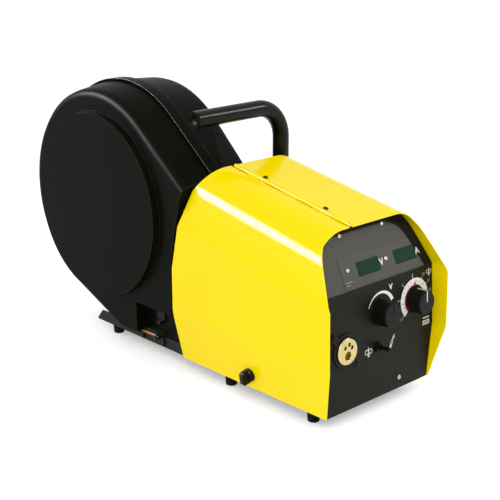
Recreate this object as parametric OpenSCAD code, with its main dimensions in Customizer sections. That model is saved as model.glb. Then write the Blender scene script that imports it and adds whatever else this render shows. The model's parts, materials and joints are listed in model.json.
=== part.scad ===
// Welding wire feeder: a sheet-metal body with a hinged side door, a tilted
// control panel, a four-roll wire drive inside and a plastic spool pot behind.
// Front faces -Y, up is +Z, X = 0 is the middle of the body,
// Y = 0 is half way along the whole machine and Z = 0 is the floor.

/* [Body cover] */
// Width over the upright sides of the body cover
cover_w = 260; // [256:1:262]
// Width over the lower edges of the cover
cover_foot_w = 228; // [224:1:232]
// Height of the cover's lower edge over the floor
cover_z = 25; // [25:0.5:26]
// Height of the lower bend, where the sides turn inwards
low_bend_z = 108; // [104:1:112]
// Height of the upper bend, half way along the body
high_bend_z = 222.6; // [220:0.2:226]
// Height of the flat top, half way along the body
top_z = 310.2; // [308:0.2:312]
// Slope of the upper bend, in degrees
bend_tilt = 9.2; // [8.8:0.1:9.6]
// Slope of the flat top, in degrees
top_tilt = 10.6; // [10.2:0.1:11]
// Inward lean of the upper sides, millimetres per millimetre of height
lean = 0.40; // [0.38:0.01:0.42]
// Outside radius of the roll between the sides and the top
roll_r = 60; // [56:1:62]
// Thickness of the cover's sheet
sheet_t = 1.5; // [1.2:0.1:2]

/* [Front panel] */
// Backward tilt of the lower panel, in degrees
low_tilt = 3.7; // [3.5:0.1:3.9]
// Backward tilt of the upper panel, in degrees
high_tilt = 25.5; // [25:0.1:26]
// Height of the fold between the two
fold_z = 200.3; // [199:0.1:201]
// Thickness of the panel's sheet
panel_t = 2; // [1.5:0.5:2]
// Radius of a knob's grip
knob_r = 18; // [16:0.5:18.5]
// How far a knob stands out of the panel
knob_h = 24; // [20:0.5:25]

/* [Wire drive] */
// Sideways place of the wire, in line with the torch connector
wire_x = -70; // [-70:1:-70]
// Height of the wire line
wire_z = 107; // [107:0.5:107]
// Radius of a feed roll
feed_roll_r = 15; // [15:0.5:15]
// Distance between the two pairs of rolls
roll_gap = 44; // [42:1:46]
// Teeth of a roll's gear
roll_teeth = 25; // [25:1:25]
// Teeth of the motor's pinion
pinion_teeth = 20; // [20:1:20]

/* [Spool pot] */
// Radius of the pot at its middle band
pot_r = 187.5; // [185:0.5:188]
// Height of the pot's centre
pot_z = 251; // [250:0.5:252]
// Wall of the pot
pot_wall = 3; // [2.5:0.5:3.5]
// Left face of the pot
pot_left_x = -130; // [-132:1:-128]
// Right face of the pot
pot_right_x = 26; // [22:1:26]
// Radius of the round panel raised on the left face
disc_r = 153; // [150:1:154]
// Height of that raised panel
disc_h = 12; // [8:1:12]

/* [Handle] */
// Outside radius of the handle tube
handle_r = 13.4; // [12.5:0.1:13.4]
// Wall of the handle tube
handle_wall = 2; // [1.5:0.5:3]
// Radius of the bend, at the middle of the tube
handle_bend_r = 52; // [48:1:56]
// Height of the grip's middle line
grip_z = 405; // [400:1:410]

/* [Feet] */
// Height of the rubber feet
foot_h = 21.5; // [21.5:0.5:21.5]
// Radius of a foot where it meets the base
foot_r = 10; // [9:0.5:11]

/* [Hidden] */
$fn = 64;
fit = 0.05;        // running clearance on a radius
gap = 0.4;         // clearance between covers and what they pass

cover_hw = cover_w/2;
foot_hw = cover_foot_w/2;
low_lean = (cover_hw - foot_hw)/(low_bend_z - cover_z);

// Front and back edges of the cover, seen from the side, as [y, z]
visor_y = -349;
sill_y = -331;
brow_y = -302;
tail_y = -60;
edge_front = [[sill_y, cover_z], [visor_y, low_bend_z - 2], [visor_y + 2, 193], [brow_y, 270], [brow_y, 400]];
edge_back = [[tail_y, 400], [tail_y, 334], [-43, 302], [-32, 248], [-16.5, 177], [-16.5, 95], [-22, cover_z]];
bend_mid_y = -190;
top_mid_y = -181;
// The slanted side seen along the rolled edge, which it shares with the top
roll_yaw = atan(lean*(sin(top_tilt) - tan(bend_tilt)*cos(top_tilt)));
roll_arc = atan(lean*(cos(top_tilt) + tan(bend_tilt)*sin(top_tilt))*cos(roll_yaw));
corner_x = (cover_hw - lean*(tan(bend_tilt)*(bend_mid_y - top_mid_y) + top_z - high_bend_z))*cos(roll_yaw);
arc_x = corner_x - roll_r*tan((90 - roll_arc)/2);
arc_steps = 20;

// Hinge along the top
hinge_x = -40;
hinge_h = 1.6;
hinge_l = 238;
knuckle_r = 3;
knuckle_n = 7;
hinge_pin_r = 1.4;
hinge_slot = 3.7;
door_leaf_w = 12;
fixed_leaf_w = 19.5;

// Base tray
tray_hw = 104;
tray_y0 = -310;
tray_y1 = 219;
tray_z = foot_h;
tray_t = 2;
tray_top = tray_z + 19;
tray_floor = tray_z + tray_t;
feet = [[90, -284], [90, -108], [84, 187]];

side_screw_ys = [-296, -180, -64];

// Panels and walls
low_y = -329.8;
fold_y = low_y + (fold_z - cover_z)*tan(low_tilt);
low_l = (fold_z - cover_z)/cos(low_tilt);
panel_inset = sheet_t + 1.7;
flange_l = 15;
back_y = -42;
back_line = [[back_y, 0], [back_y, 240], [-52, 296], [-72, 337], [-100, 400]];
wall_x = 18;
wall_t = 2;

// Places on the lower panel, [x, distance up from its lower edge]
euro_at = [wire_x, 91];
euro_screw = 23.7;
euro_face = 6;
euro_r = 20;
euro_edge = 1.4;
euro_flange_h = 2.4;
torch_bore_r = 6.2;
torch_bore_at = [0, -6.5];
pin_bore_r = 2.8;
pin_bores_at = [[-5, 6], [3.5, 9.5], [9, 4]];
bore_mouth = 0.8;
voltage_at = [8, 128];
speed_at = [85, 128];
toggle_at = [0, 78];
low_screw = [46, 17];
// Places on the upper panel, [x, distance up from the fold]
window_w = 47.2;
window_h = 20.6;
window_s = 15;
voltage_window_x = -32;
current_window_x = 49;
high_screws = [[-51.5, 28.5], [30.5, 28.5], [-47, 78.5], [44.5, 78.5]];
overlay_t = 0.8;
display_t = 0.6;

// Wire drive
drive_y = -190;
roll_ys = [drive_y - roll_gap/2, drive_y + roll_gap/2];
low_roll_z = wire_z - feed_roll_r;
high_roll_z = wire_z + feed_roll_r;
gear_m = 2*feed_roll_r/roll_teeth;
pinion_r = gear_m*pinion_teeth/2;
pinion_z = low_roll_z - sqrt(pow(pinion_r + feed_roll_r, 2) - pow(roll_gap/2, 2));
drive_plate_x = [-44, -38];
gear_x = [-53, -46];
roll_x = [wire_x - 10, wire_x + 10];
shaft_r = 4;
idler_r = 3;
arm_x = [-85, -80];
arm_pivot = [-250, 126];
// Pillars behind the drive plate, as [y, z] from the pinion
pillars = [[-58, -32], [58, -32], [-44, 56], [58, 50]];

// Spool pot, seen from the side, as [y, z]
pot_y = 171;
pot_part_x = -60.5;
slice_t = 0.1;
band_hw = 10.5;
face_r = 180;
right_r = 183;
pot_fillet = 15;
slope_left = 39;
slope_right = 43.5;
pot_base_z = 45;
pot_base_y = 118;
pot_front = [[-12.5, 0], [-12.5, 180], [-28, 250], [-40, 302], [-56, 335]];
disc_at = [165, 243];
notch_y = [-20, 77];
notch_z = [40, 97];
notch_x = -106;
hub_x = [-112, 2];
hub_r = 25.2;
hub_face = hub_x[0] + 5;
latch_x = [hub_face - 5, hub_face - 0.3];
latch_off = 13;
latch_z = pot_z + latch_off;
axle_r = 8;
post_x = [31, 35];
gusset_z = 60;
pot_hinge_x = -118;
pot_hinge_z = 44.5;
pot_hinge_r = 2.8;
rod_y_ends = [34, 108];
bracket_ys = [37, 90];
knuckle_ys = [[80, 88.5], [97.5, 106]];

// Handle
handle_y = -28;
handle_leg_x = 94;
grip_x = -89;
handle_foot_z = 72;
saddle_zs = [100, 215];
saddle_bolt = 21;

yellow = "#FBE20D";
black = "#1E1F1C";
plastic = "#26272A";
steel = "#B9BCC0";

// Helpers

module box(x, y, z) {
    translate([x[0], y[0], z[0]]) cube([x[1] - x[0], y[1] - y[0], z[1] - z[0]]);
}

// A flat shape drawn as [x, z], made solid from y[0] to y[1]
module along_y(y) {
    translate([0, y[1], 0]) rotate([90, 0, 0]) linear_extrude(y[1] - y[0]) children();
}

// A flat shape drawn as [y, z], made solid from x[0] to x[1]
module along_x(x) {
    translate([x[0], 0, 0]) rotate([90, 0, 90]) linear_extrude(x[1] - x[0]) children();
}

module rod_x(x, r, y, z) {
    translate([x[0], y, z]) rotate([0, 90, 0]) cylinder(h = x[1] - x[0], r = r);
}

module rod_y(y, r, x, z) {
    translate([x, y[0], z]) rotate([-90, 0, 0]) cylinder(h = y[1] - y[0], r = r);
}

module rod_z(z, r, x, y) {
    translate([x, y, z[0]]) cylinder(h = z[1] - z[0], r = r);
}

// Frames of the sloped faces: local Z is the outward normal
module on_lower_panel() {
    translate([0, low_y, cover_z]) rotate([90 - low_tilt, 0, 0]) children();
}

module on_upper_panel() {
    translate([0, fold_y, fold_z]) rotate([90 - high_tilt, 0, 0]) children();
}

module on_top() {
    translate([0, top_mid_y, top_z]) rotate([top_tilt, 0, 0]) children();
}

// The cover's shape

// Everything under one rolled edge of the top, from the far side to the right one
module under_roll(in) {
    r = roll_r - in;
    skirt_h = 330;
    arc = [for (i = [0:arc_steps]) let (a = 90 - (90 - roll_arc)*i/arc_steps)
              [arc_x + r*cos(a), r*sin(a) - roll_r]];
    skirt = arc[arc_steps] + skirt_h*[tan(roll_arc), -1];
    on_top() rotate([0, 0, roll_yaw]) along_y([-340, 340])
        polygon(concat([[-300, -in]], arc, [skirt, [-300, skirt[1]]]));
}

// Everything inside the cover, in = distance inside its outer face
module cover_section(in) {
    low_z = in > 0 ? cover_z - 10 : cover_z;
    low_x = cover_hw - low_lean*(low_bend_z - low_z) - in*sqrt(1 + low_lean*low_lean);
    side_x = cover_hw - in;
    intersection() {
        along_y([-420, 60])
            polygon([[-low_x, low_z], [-side_x, low_bend_z], [-side_x, 420],
                     [side_x, 420], [side_x, low_bend_z], [low_x, low_z]]);
        under_roll(in);
        mirror([1, 0, 0]) under_roll(in);
    }
}

module cover_shell() {
    difference() {
        intersection() {
            cover_section(0);
            along_x([-150, 150]) polygon(concat(edge_front, edge_back));
        }
        cover_section(sheet_t);
    }
}

// Return flange that follows the cover's inside, between two planes
module edge_flange() {
    intersection() {
        difference() {
            cover_section(panel_inset);
            cover_section(panel_inset + 1.5);
        }
        children();
    }
}

// Frame of a screw in the right cover's lower edge: local Z points out
module side_screw_frame(y) {
    translate([foot_hw + low_lean*(36 - cover_z), y, 36]) rotate([0, 90 + atan(low_lean), 0]) children();
}

// Frame

module base_tray() {
    color(black) difference() {
        box([-tray_hw, tray_hw], [tray_y0, tray_y1], [tray_z, tray_top]);
        box([tray_t - tray_hw, tray_hw - tray_t], [tray_y0 - 1, tray_y1 + 1], [tray_floor, tray_top + 1]);
        for (f = feet, side = [-1, 1]) rod_z([tray_z - 1, tray_floor + 1], 2.75, side*f[0], f[1]);
        along_x([-tray_hw - 1, tray_hw + 1])
            polygon([[tray_y1 - 14, tray_top + 1], [tray_y1 + 1, tray_top + 1], [tray_y1 + 1, tray_z + 2]]);
        for (y = side_screw_ys) side_screw_frame(y) translate([0, 0, -20]) cylinder(h = 12, r = 2.7);
    }
    color(black) for (y = side_screw_ys) side_screw_frame(y) difference() {
        translate([0, 0, -13]) cylinder(h = 11.2, r = 5);
        translate([0, 0, -14]) cylinder(h = 14, r = 2.7);
    }
}

module rubber_feet() {
    edge_r = 2.5;
    color("#151515") for (f = feet, side = [-1, 1]) translate([side*f[0], f[1], 0]) difference() {
        union() {
            translate([0, 0, edge_r]) cylinder(h = foot_h - edge_r, r1 = foot_r - 1, r2 = foot_r);
            translate([0, 0, edge_r]) rotate_extrude() translate([foot_r - 1 - edge_r, 0]) circle(edge_r);
            cylinder(h = edge_r + 0.5, r = foot_r - 1 - edge_r);
        }
        translate([0, 0, -1]) cylinder(h = 9, r = 4.6);
        cylinder(h = foot_h + 1, r = 2.75);
    }
}

module foot_screws() {
    color(steel) for (f = feet, side = [-1, 1]) translate([side*f[0], f[1], 0]) {
        translate([0, 0, 4]) cylinder(h = 4, r = 4);
        translate([0, 0, 8]) cylinder(h = 22, r = 2.5);
        difference() {
            translate([0, 0, tray_floor]) cylinder(h = 4, r = 4.6, $fn = 6);
            translate([0, 0, tray_floor - 1]) cylinder(h = 6, r = 2.55);
        }
    }
}

module window_holes(grow, depth) {
    for (x = [voltage_window_x, current_window_x])
        translate([x - grow, window_s - grow, -depth]) cube([window_w + 2*grow, window_h + 2*grow, depth + 5]);
}

module front_panel() {
    color(black) difference() {
        union() {
            intersection() {
                union() {
                    on_lower_panel() translate([-150, 0, -panel_t]) cube([300, low_l, panel_t]);
                    on_upper_panel() translate([-150, 0, -panel_t]) cube([300, 120, panel_t]);
                    translate([0, fold_y, fold_z]) rotate([90 - high_tilt, 0, 0])
                        translate([-150, -1, -panel_t]) cube([300, 2, panel_t - 0.4]);
                }
                cover_section(panel_inset);
                box([-150, 150], [-400, 0], [cover_z, 400]);
            }
            box([-98, 98], [low_y + panel_t - 0.3, -294], [tray_floor, tray_floor + 2]);
            edge_flange() intersection() {
                union() {
                    on_lower_panel() translate([-150, 0, -flange_l]) cube([300, low_l, flange_l - 0.5]);
                    on_upper_panel() translate([-150, 0, -flange_l]) cube([300, 120, flange_l - 0.5]);
                }
                box([-150, 150], [-400, 0], [tray_top + 3, 400]);
            }
        }
        on_lower_panel() {
            translate([euro_at[0], euro_at[1], -10]) cylinder(h = 20, r = 18.2);
            for (at = [voltage_at, speed_at]) translate([at[0], at[1], -10]) cylinder(h = 20, r = 4.8);
            translate([toggle_at[0], toggle_at[1], -10]) cylinder(h = 20, r = 6.2);
            translate([low_screw[0], low_screw[1], -10]) cylinder(h = 20, r = 2.2);
            for (side = [-1, 1]) translate([euro_at[0] + side*euro_screw, euro_at[1] - side*euro_screw, -10])
                cylinder(h = 20, r = 2.2);
        }
        on_upper_panel() {
            window_holes(-2, 5);
            for (at = high_screws) translate([at[0], at[1], -10]) cylinder(h = 20, r = 1.7);
        }
    }
}

// Slab between two lines parallel to the rear panel's folded outline
module behind_back(near, far) {
    along_x([-150, 150])
        polygon(concat([for (p = back_line) [p[0] - near, p[1]]],
                       [for (i = [len(back_line) - 1:-1:0]) [back_line[i][0] - far, back_line[i][1]]]));
}

module rear_panel() {
    color(black) difference() {
        union() {
            intersection() {
                cover_section(panel_inset);
                behind_back(0, panel_t);
                box([-150, 150], [-200, 0], [tray_floor, 400]);
            }
            edge_flange() intersection() {
                behind_back(0.5, flange_l);
                box([-150, 150], [-200, 0], [tray_top + 3, 400]);
            }
        }
        rod_y([back_y - 5, back_y + 5], 9, wire_x, wire_z);
        rod_y([back_y - 5, back_y + 5], 13.2, 46, 75);
        rod_y([back_y - 5, back_y + 5], 12.2, 46, 140);
        rod_y([back_y - 5, back_y + 5], 5.2, 46, 195);
        for (x = [-tray_hw - 1, tray_hw - tray_t - gap])
            translate([x, back_y - 5, 0]) cube([tray_t + gap + 1, 10, tray_top + gap]);
        for (z = saddle_zs, side = [-1, 1]) rod_y([back_y - 5, back_y + 5], 3.2, handle_leg_x + side*saddle_bolt, z);
    }
}

module centre_wall() {
    color("#8E9194") difference() {
        intersection() {
            union() {
                along_x([wall_x, wall_x + wall_t])
                    polygon([[-292, tray_floor], [-290, 180], [-240, 305], [-240, 400], [-104, 400],
                             [-76, 337], [-56, 296], [back_y - panel_t, 240], [back_y - panel_t, tray_floor]]);
                box([wall_x, wall_x + 16], [-290, back_y - panel_t], [tray_floor, tray_floor + 2]);
            }
            cover_section(8);
        }
        box([wall_x - 1, wall_x + 3], [drive_y - 34, drive_y + 34], [pinion_z - 34, pinion_z + 38]);
        for (p = pillars) rod_x([wall_x - 1, wall_x + 3], 3.2, drive_y + p[0], pinion_z + p[1]);
        box([wall_x - 1, wall_x + 3], [-84, -56], [34, 50]);
        rod_x([wall_x - 1, wall_x + 3], 6, -100, 64);
    }
}

// Covers, hinge and latch

module right_cover() {
    color(yellow) difference() {
        intersection() {
            cover_shell();
            box([hinge_x + hinge_slot, 200], [-400, 0], [0, 420]);
        }
        on_top() for (y = [-62, 64]) translate([hinge_x + 12, y, -5]) cylinder(h = 10, r = 2.3);
        for (y = side_screw_ys) side_screw_frame(y) translate([0, 0, -8]) cylinder(h = 12, r = 2.8);
    }
}

module latch_axis() {
    translate([-(foot_hw + low_lean*(48 - cover_z)), -180, 48]) rotate([0, -90 - atan(low_lean), 0]) children();
}

module side_door() {
    color(yellow) difference() {
        intersection() {
            cover_shell();
            box([-200, hinge_x - hinge_slot], [-400, 0], [0, 420]);
        }
        latch_axis() translate([0, 0, -8]) cylinder(h = 16, r = 5.2);
    }
}

// One leaf of the piano hinge with every second knuckle, in the top's frame
module hinge_leaf(side, first) {
    pitch = hinge_l/knuckle_n;
    on_top() translate([hinge_x, -hinge_l/2, hinge_h]) difference() {
        union() {
            for (i = [first:2:knuckle_n - 1]) translate([0, i*pitch + 0.3, 0]) {
                rotate([-90, 0, 0]) cylinder(h = pitch - 0.6, r = knuckle_r, $fn = 32);
                translate([side > 0 ? 0.5 : -3.2, 0, -hinge_h - sheet_t - 1.2])
                    cube([2.7, pitch - 0.6, hinge_h + sheet_t + 0.6]);
            }
            translate([side > 0 ? 0.5 : -door_leaf_w, 0, -hinge_h - sheet_t - 1.2])
                cube([side > 0 ? fixed_leaf_w : door_leaf_w - 0.5, hinge_l, 1.2]);
        }
        translate([0, -1, 0]) rotate([-90, 0, 0]) cylinder(h = hinge_l + 2, r = hinge_pin_r + fit);
        if (side > 0) for (y = [-62, 64])
            translate([12, hinge_l/2 + y, -8]) cylinder(h = 8, r = 2.1);
    }
}

module hinge_fixed_leaf() {
    color(yellow) hinge_leaf(1, 0);
}

module hinge_door_leaf() {
    color(yellow) hinge_leaf(-1, 1);
}

module hinge_pin() {
    color(steel) on_top() translate([hinge_x, -hinge_l/2 - 1, hinge_h])
        rotate([-90, 0, 0]) cylinder(h = hinge_l + 2, r = hinge_pin_r);
}

// Machine screw standing on a face: domed head above, shank below
module screw(head_r, head_h, shank_r, shank_l) {
    difference() {
        union() {
            cylinder(h = head_h*0.55, r = head_r);
            translate([0, 0, head_h*0.55]) cylinder(h = head_h*0.45, r1 = head_r, r2 = head_r*0.7);
        }
        translate([-head_r*0.5, -head_r*0.12, head_h*0.5]) cube([head_r, head_r*0.24, head_h]);
        translate([-head_r*0.12, -head_r*0.5, head_h*0.5]) cube([head_r*0.24, head_r, head_h]);
    }
    translate([0, 0, -shank_l]) cylinder(h = shank_l, r = shank_r);
}

// Blackened screws of the hinge, the covers and the torch connector
module black_screws() {
    color("#3A3A3A") {
        on_top() for (y = [-62, 64]) translate([hinge_x + 12, y, 0]) screw(4, 2.2, 2, 5);
        for (y = side_screw_ys) side_screw_frame(y) screw(5, 3, 2.5, 16);
        on_lower_panel() for (side = [-1, 1])
            translate([euro_at[0] + side*euro_screw, euro_at[1] - side*euro_screw, euro_flange_h])
                screw(3.6, 2, 2, 8);
    }
}

module door_latch_knob() {
    color(plastic) latch_axis() {
        translate([0, 0, 0.3]) cylinder(h = 3.5, r = 10.5);
        translate([0, 0, 3.8]) cylinder(h = 2.5, r1 = 10.5, r2 = 8);
        intersection() {
            translate([-10.5, -3.5, 3.8]) cube([21, 7, 14.5]);
            translate([0, 10, 5]) rotate([90, 0, 0]) cylinder(h = 20, r = 15);
        }
        translate([0, 0, -7]) cylinder(h = 7.5, r = 5);
        translate([0, 0, -18.5]) cylinder(h = 12, r = 3);
        translate([-4, -5, -21]) cube([8, 20, 3]);
    }
}

// Control panel

// Outline of the overlay on the upper panel
module overlay_outline(in, top) {
    polygon([[-125, 0.5 + in], [108 - in, 0.5 + in], [93 - in, 40], [86.5 - in, 54], [81 - in, 62.5],
             [74 - in, 70], [65 - in, 75.5 - in], [54, top - in], [-125, top - in]]);
}

module control_overlay() {
    color("#5C5B58") intersection() {
        on_upper_panel() difference() {
            linear_extrude(overlay_t) overlay_outline(0, 80);
            window_holes(0.2, 2);
            for (at = high_screws) translate([at[0], at[1], -2]) cylinder(h = 5, r = 1.7);
        }
        cover_section(panel_inset + 2);
    }
}

module display_plate() {
    color("#686662") on_upper_panel() translate([0, 0, overlay_t]) difference() {
        linear_extrude(display_t)
            polygon([[-65.5, 2], [106, 2], [91.5, 40], [88, 48], [-65.5, 48]]);
        translate([0, 0, -1]) window_holes(0.2, 2);
        for (at = high_screws) translate([at[0], at[1], -2]) cylinder(h = 5, r = 1.7);
    }
}

// A lens sits in the overlay's cut-out and shows the digits behind it
module display_window(x) {
    color([0.05, 0.25, 0.18]) on_upper_panel() {
        translate([x, window_s, 0.1]) cube([window_w, window_h, overlay_t + display_t + 0.3]);
        translate([x + 2.4, window_s + 2.4, -panel_t]) cube([window_w - 4.8, window_h - 4.8, panel_t + 0.2]);
    }
}

module voltage_window() {
    display_window(voltage_window_x);
}

module current_window() {
    display_window(current_window_x);
}

module display_board() {
    color("#1F5B36") on_upper_panel() {
        translate([-56, 6, -17]) cube([158, 38, 1.6]);
        for (x = [voltage_window_x, current_window_x])
            translate([x + 3, window_s + 1.5, -15.4]) cube([window_w - 6, window_h - 3, 9]);
        for (at = [[-49, 29], [32.5, 29]]) translate([at[0], at[1], -15.4]) cylinder(h = 13.3, r = 3);
    }
}

module panel_screws() {
    color(steel) {
        on_upper_panel() {
            for (i = [0, 1]) translate([high_screws[i][0], high_screws[i][1], overlay_t + display_t]) screw(3.2, 2.2, 1.5, 3.4);
            for (i = [2, 3]) translate([high_screws[i][0], high_screws[i][1], overlay_t]) screw(3.2, 2.2, 1.5, 4.5);
        }
        on_lower_panel() translate([low_screw[0], low_screw[1], 0]) screw(3.6, 2.4, 2, 6);
    }
}

// A fluted control knob with its shaft, standing on the lower panel
module control_knob(at) {
    flutes = 24;
    on_lower_panel() translate([at[0], at[1], 0]) {
        difference() {
            union() {
                translate([0, 0, 1]) cylinder(h = 4, r = knob_r + 2);
                translate([0, 0, 5]) cylinder(h = knob_h - 6.5, r1 = knob_r + 1, r2 = knob_r);
                translate([0, 0, knob_h - 1.5]) cylinder(h = 1.5, r1 = knob_r, r2 = knob_r - 1.5);
            }
            for (i = [0:flutes - 1]) rotate([0, 0, i*360/flutes])
                translate([knob_r + 0.8, 0, 5.8]) cylinder(h = knob_h, r = 1.2);
            translate([-0.8, 3, knob_h - 0.8]) cube([1.6, knob_r, 2]);
        }
        translate([0, 0, -14]) cylinder(h = 15.1, r = 3);
    }
}

module voltage_knob() {
    color(plastic) control_knob(voltage_at);
}

module wire_speed_knob() {
    color(plastic) control_knob(speed_at);
}

module potentiometers() {
    color("#6B6B6B") on_lower_panel() for (at = [voltage_at, speed_at]) translate([at[0], at[1], 0])
        difference() {
            union() {
                translate([0, 0, -20]) cylinder(h = 14, r = 12);
                translate([0, 0, -6]) cylinder(h = 6.6, r = 4.6);
                translate([0, 0, -5]) cylinder(h = 2.9, r = 7, $fn = 6);
            }
            translate([0, 0, -15]) cylinder(h = 20, r = 3 + fit);
        }
}

module toggle_switch() {
    color("#202020") on_lower_panel() translate([toggle_at[0], toggle_at[1], 0]) difference() {
        union() {
            translate([-7, -12, -24]) cube([14, 24, 20]);
            translate([0, 0, -4]) cylinder(h = 10, r = 6);
            translate([0, 0, 0.2]) cylinder(h = 3, r = 9, $fn = 6);
        }
        translate([0, 0, -2]) cylinder(h = 9, r1 = 2.6, r2 = 4.6);
    }
}

module toggle_lever() {
    color("#2B2B2B") on_lower_panel() translate([toggle_at[0], toggle_at[1], 0]) {
        translate([0, 0, 0.3]) sphere(r = 2, $fn = 32);
        cylinder(h = 8, r = 1.8);
        translate([0, 0, 8]) cylinder(h = 13, r1 = 2.4, r2 = 3.4);
        translate([0, 0, 21]) sphere(r = 3.4, $fn = 32);
    }
}

module euro_flange() {
    reach = euro_screw*sqrt(2);
    color(plastic) on_lower_panel() translate([euro_at[0], euro_at[1], 0]) difference() {
        union() {
            cylinder(h = euro_flange_h, r1 = 26.5, r2 = 25.5);
            for (side = [-1, 1]) translate([side*euro_screw, -side*euro_screw, 0])
                cylinder(h = euro_flange_h, r = 6.5);
            rotate([0, 0, -45]) translate([-reach, -6, 0]) cube([reach*2, 12, euro_flange_h]);
            translate([0, 0, -14]) cylinder(h = 14, r = 18);
        }
        translate([0, 0, -15]) cylinder(h = 30, r = 15.6);
        translate([0, 0, 0.9]) cylinder(h = 10, r = euro_r + 1.2);
        for (side = [-1, 1]) translate([side*euro_screw, -side*euro_screw, -1]) cylinder(h = 8, r = 2.1);
    }
}

// Bore from the connector's face, with its countersunk mouth
module face_bore(at, r, depth) {
    translate([at[0], at[1], euro_face - depth]) cylinder(h = depth, r = r);
    translate([at[0], at[1], euro_face - bore_mouth]) cylinder(h = bore_mouth*2, r1 = r, r2 = r + bore_mouth*2);
}

module euro_body() {
    color("#C8A868") on_lower_panel() translate([euro_at[0], euro_at[1], 0]) difference() {
        union() {
            translate([0, 0, 1]) cylinder(h = euro_face - 1 - euro_edge, r = euro_r);
            translate([0, 0, euro_face - euro_edge]) cylinder(h = euro_edge, r1 = euro_r, r2 = euro_r - euro_edge);
            translate([0, 0, -36]) cylinder(h = 38, r = 15.5);
            translate([0, 0, -40]) cylinder(h = 4, r = 12, $fn = 6);
        }
        face_bore(torch_bore_at, torch_bore_r, 11);
        for (at = pin_bores_at) face_bore(at, pin_bore_r, 8);
        translate([torch_bore_at[0], torch_bore_at[1], -45]) cylinder(h = 45, r = 2.2);
    }
}

// Wire drive

// Straight-cut gear along X whose teeth just clear their neighbours
module gear(x, r, teeth, y, z) {
    width = gear_m*1.45;
    difference() {
        rod_x(x, r - 0.25, y, z);
        for (i = [0:teeth - 1]) translate([x[0] - 1, y, z]) rotate([i*360/teeth, 0, 0])
            translate([0, -width/4, r - gear_m*1.3]) cube([x[1] - x[0] + 2, width/2, gear_m*2]);
    }
}

module drive_plate() {
    color("#A9ADB1") difference() {
        box(drive_plate_x, [drive_y - 68, drive_y + 68], [34, 142]);
        for (y = roll_ys) rod_x([-60, 0], shaft_r + fit, y, low_roll_z);
        for (y = roll_ys) rod_x([-60, 0], 9, y, high_roll_z);
        rod_x([-60, 0], shaft_r + fit, drive_y, pinion_z);
        rod_x([-60, 0], idler_r + 0.02, arm_pivot[0], arm_pivot[1]);
        for (p = pillars) rod_x([-60, 0], 3.2, drive_y + p[0], pinion_z + p[1]);
        for (y = [drive_y - 44, drive_y, drive_y + 44]) rod_x([-60, 0], 2.1, y, wire_z);
    }
}

module drive_pillars() {
    color("#D8C9A0") for (p = pillars) translate([0, drive_y + p[0], pinion_z + p[1]]) difference() {
        union() {
            rod_x([drive_plate_x[1], wall_x], 8, 0, 0);
            rod_x([drive_plate_x[0] - 1.6, drive_plate_x[1]], 3, 0, 0);
            rod_x([drive_plate_x[0] - 1.6, drive_plate_x[0]], 5, 0, 0);
            rod_x([wall_x, wall_x + wall_t + 4], 3, 0, 0);
            rod_x([wall_x + wall_t, wall_x + wall_t + 4], 5, 0, 0);
        }
        rod_x([-60, drive_plate_x[0] + 0.6], 2, 0, 0);
    }
}

module gearbox() {
    color("#9DA1A6") difference() {
        union() {
            box([drive_plate_x[1], wall_x + 6], [drive_y - 32, drive_y + 32], [pinion_z - 30, pinion_z + 34]);
            rod_x([wall_x + 6, wall_x + 12], 28, drive_y, pinion_z);
        }
        rod_x([-60, -10], shaft_r + fit, drive_y, pinion_z);
        for (y = roll_ys) rod_x([-60, -28], shaft_r + 0.6, y, low_roll_z);
        for (side = [-1, 1]) box([-30, wall_x - 4], [drive_y + side*30 - 4, drive_y + side*30 + 4], [60, 104]);
    }
}

module drive_motor() {
    color("#34363A") {
        rod_x([wall_x + 12, 112], 30, drive_y, pinion_z);
        rod_x([112, 116], 24, drive_y, pinion_z);
        for (a = [0, 180]) translate([0, drive_y, pinion_z]) rotate([a, 0, 0])
            box([100, 109], [-5, 5], [29.5, 33]);
    }
}

module drive_pinion() {
    color(steel) {
        gear(gear_x, pinion_r, pinion_teeth, drive_y, pinion_z);
        rod_x([gear_x[1], -12], shaft_r, drive_y, pinion_z);
        rod_x([gear_x[0] - 3, gear_x[0]], 5, drive_y, pinion_z);
    }
}

// A grooved feed roll: the wire runs in the groove at wire_x
module feed_roll(y, z, bore_r) {
    difference() {
        union() {
            rod_x(roll_x, feed_roll_r - 0.25, y, z);
            rod_x([roll_x[1], gear_x[0]], 9, y, z);
            gear(gear_x, feed_roll_r, roll_teeth, y, z);
        }
        translate([wire_x, y, z]) rotate([0, 90, 0]) rotate_extrude()
            polygon([[feed_roll_r - 1, 0], [feed_roll_r + 1, -1.6], [feed_roll_r + 1, 1.6]]);
        if (bore_r > 0) rod_x([-100, 0], bore_r, y, z);
    }
}

module lower_roll(y) {
    feed_roll(y, low_roll_z, 0);
    rod_x([gear_x[1], -29], shaft_r, y, low_roll_z);
    rod_x([roll_x[0] - 2, roll_x[0]], 11, y, low_roll_z);
}

module lower_roll_front() {
    color(steel) lower_roll(roll_ys[0]);
}

module lower_roll_rear() {
    color(steel) lower_roll(roll_ys[1]);
}

module upper_roll_front() {
    color(steel) feed_roll(roll_ys[0], high_roll_z, idler_r + fit);
}

module upper_roll_rear() {
    color(steel) feed_roll(roll_ys[1], high_roll_z, idler_r + fit);
}

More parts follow.
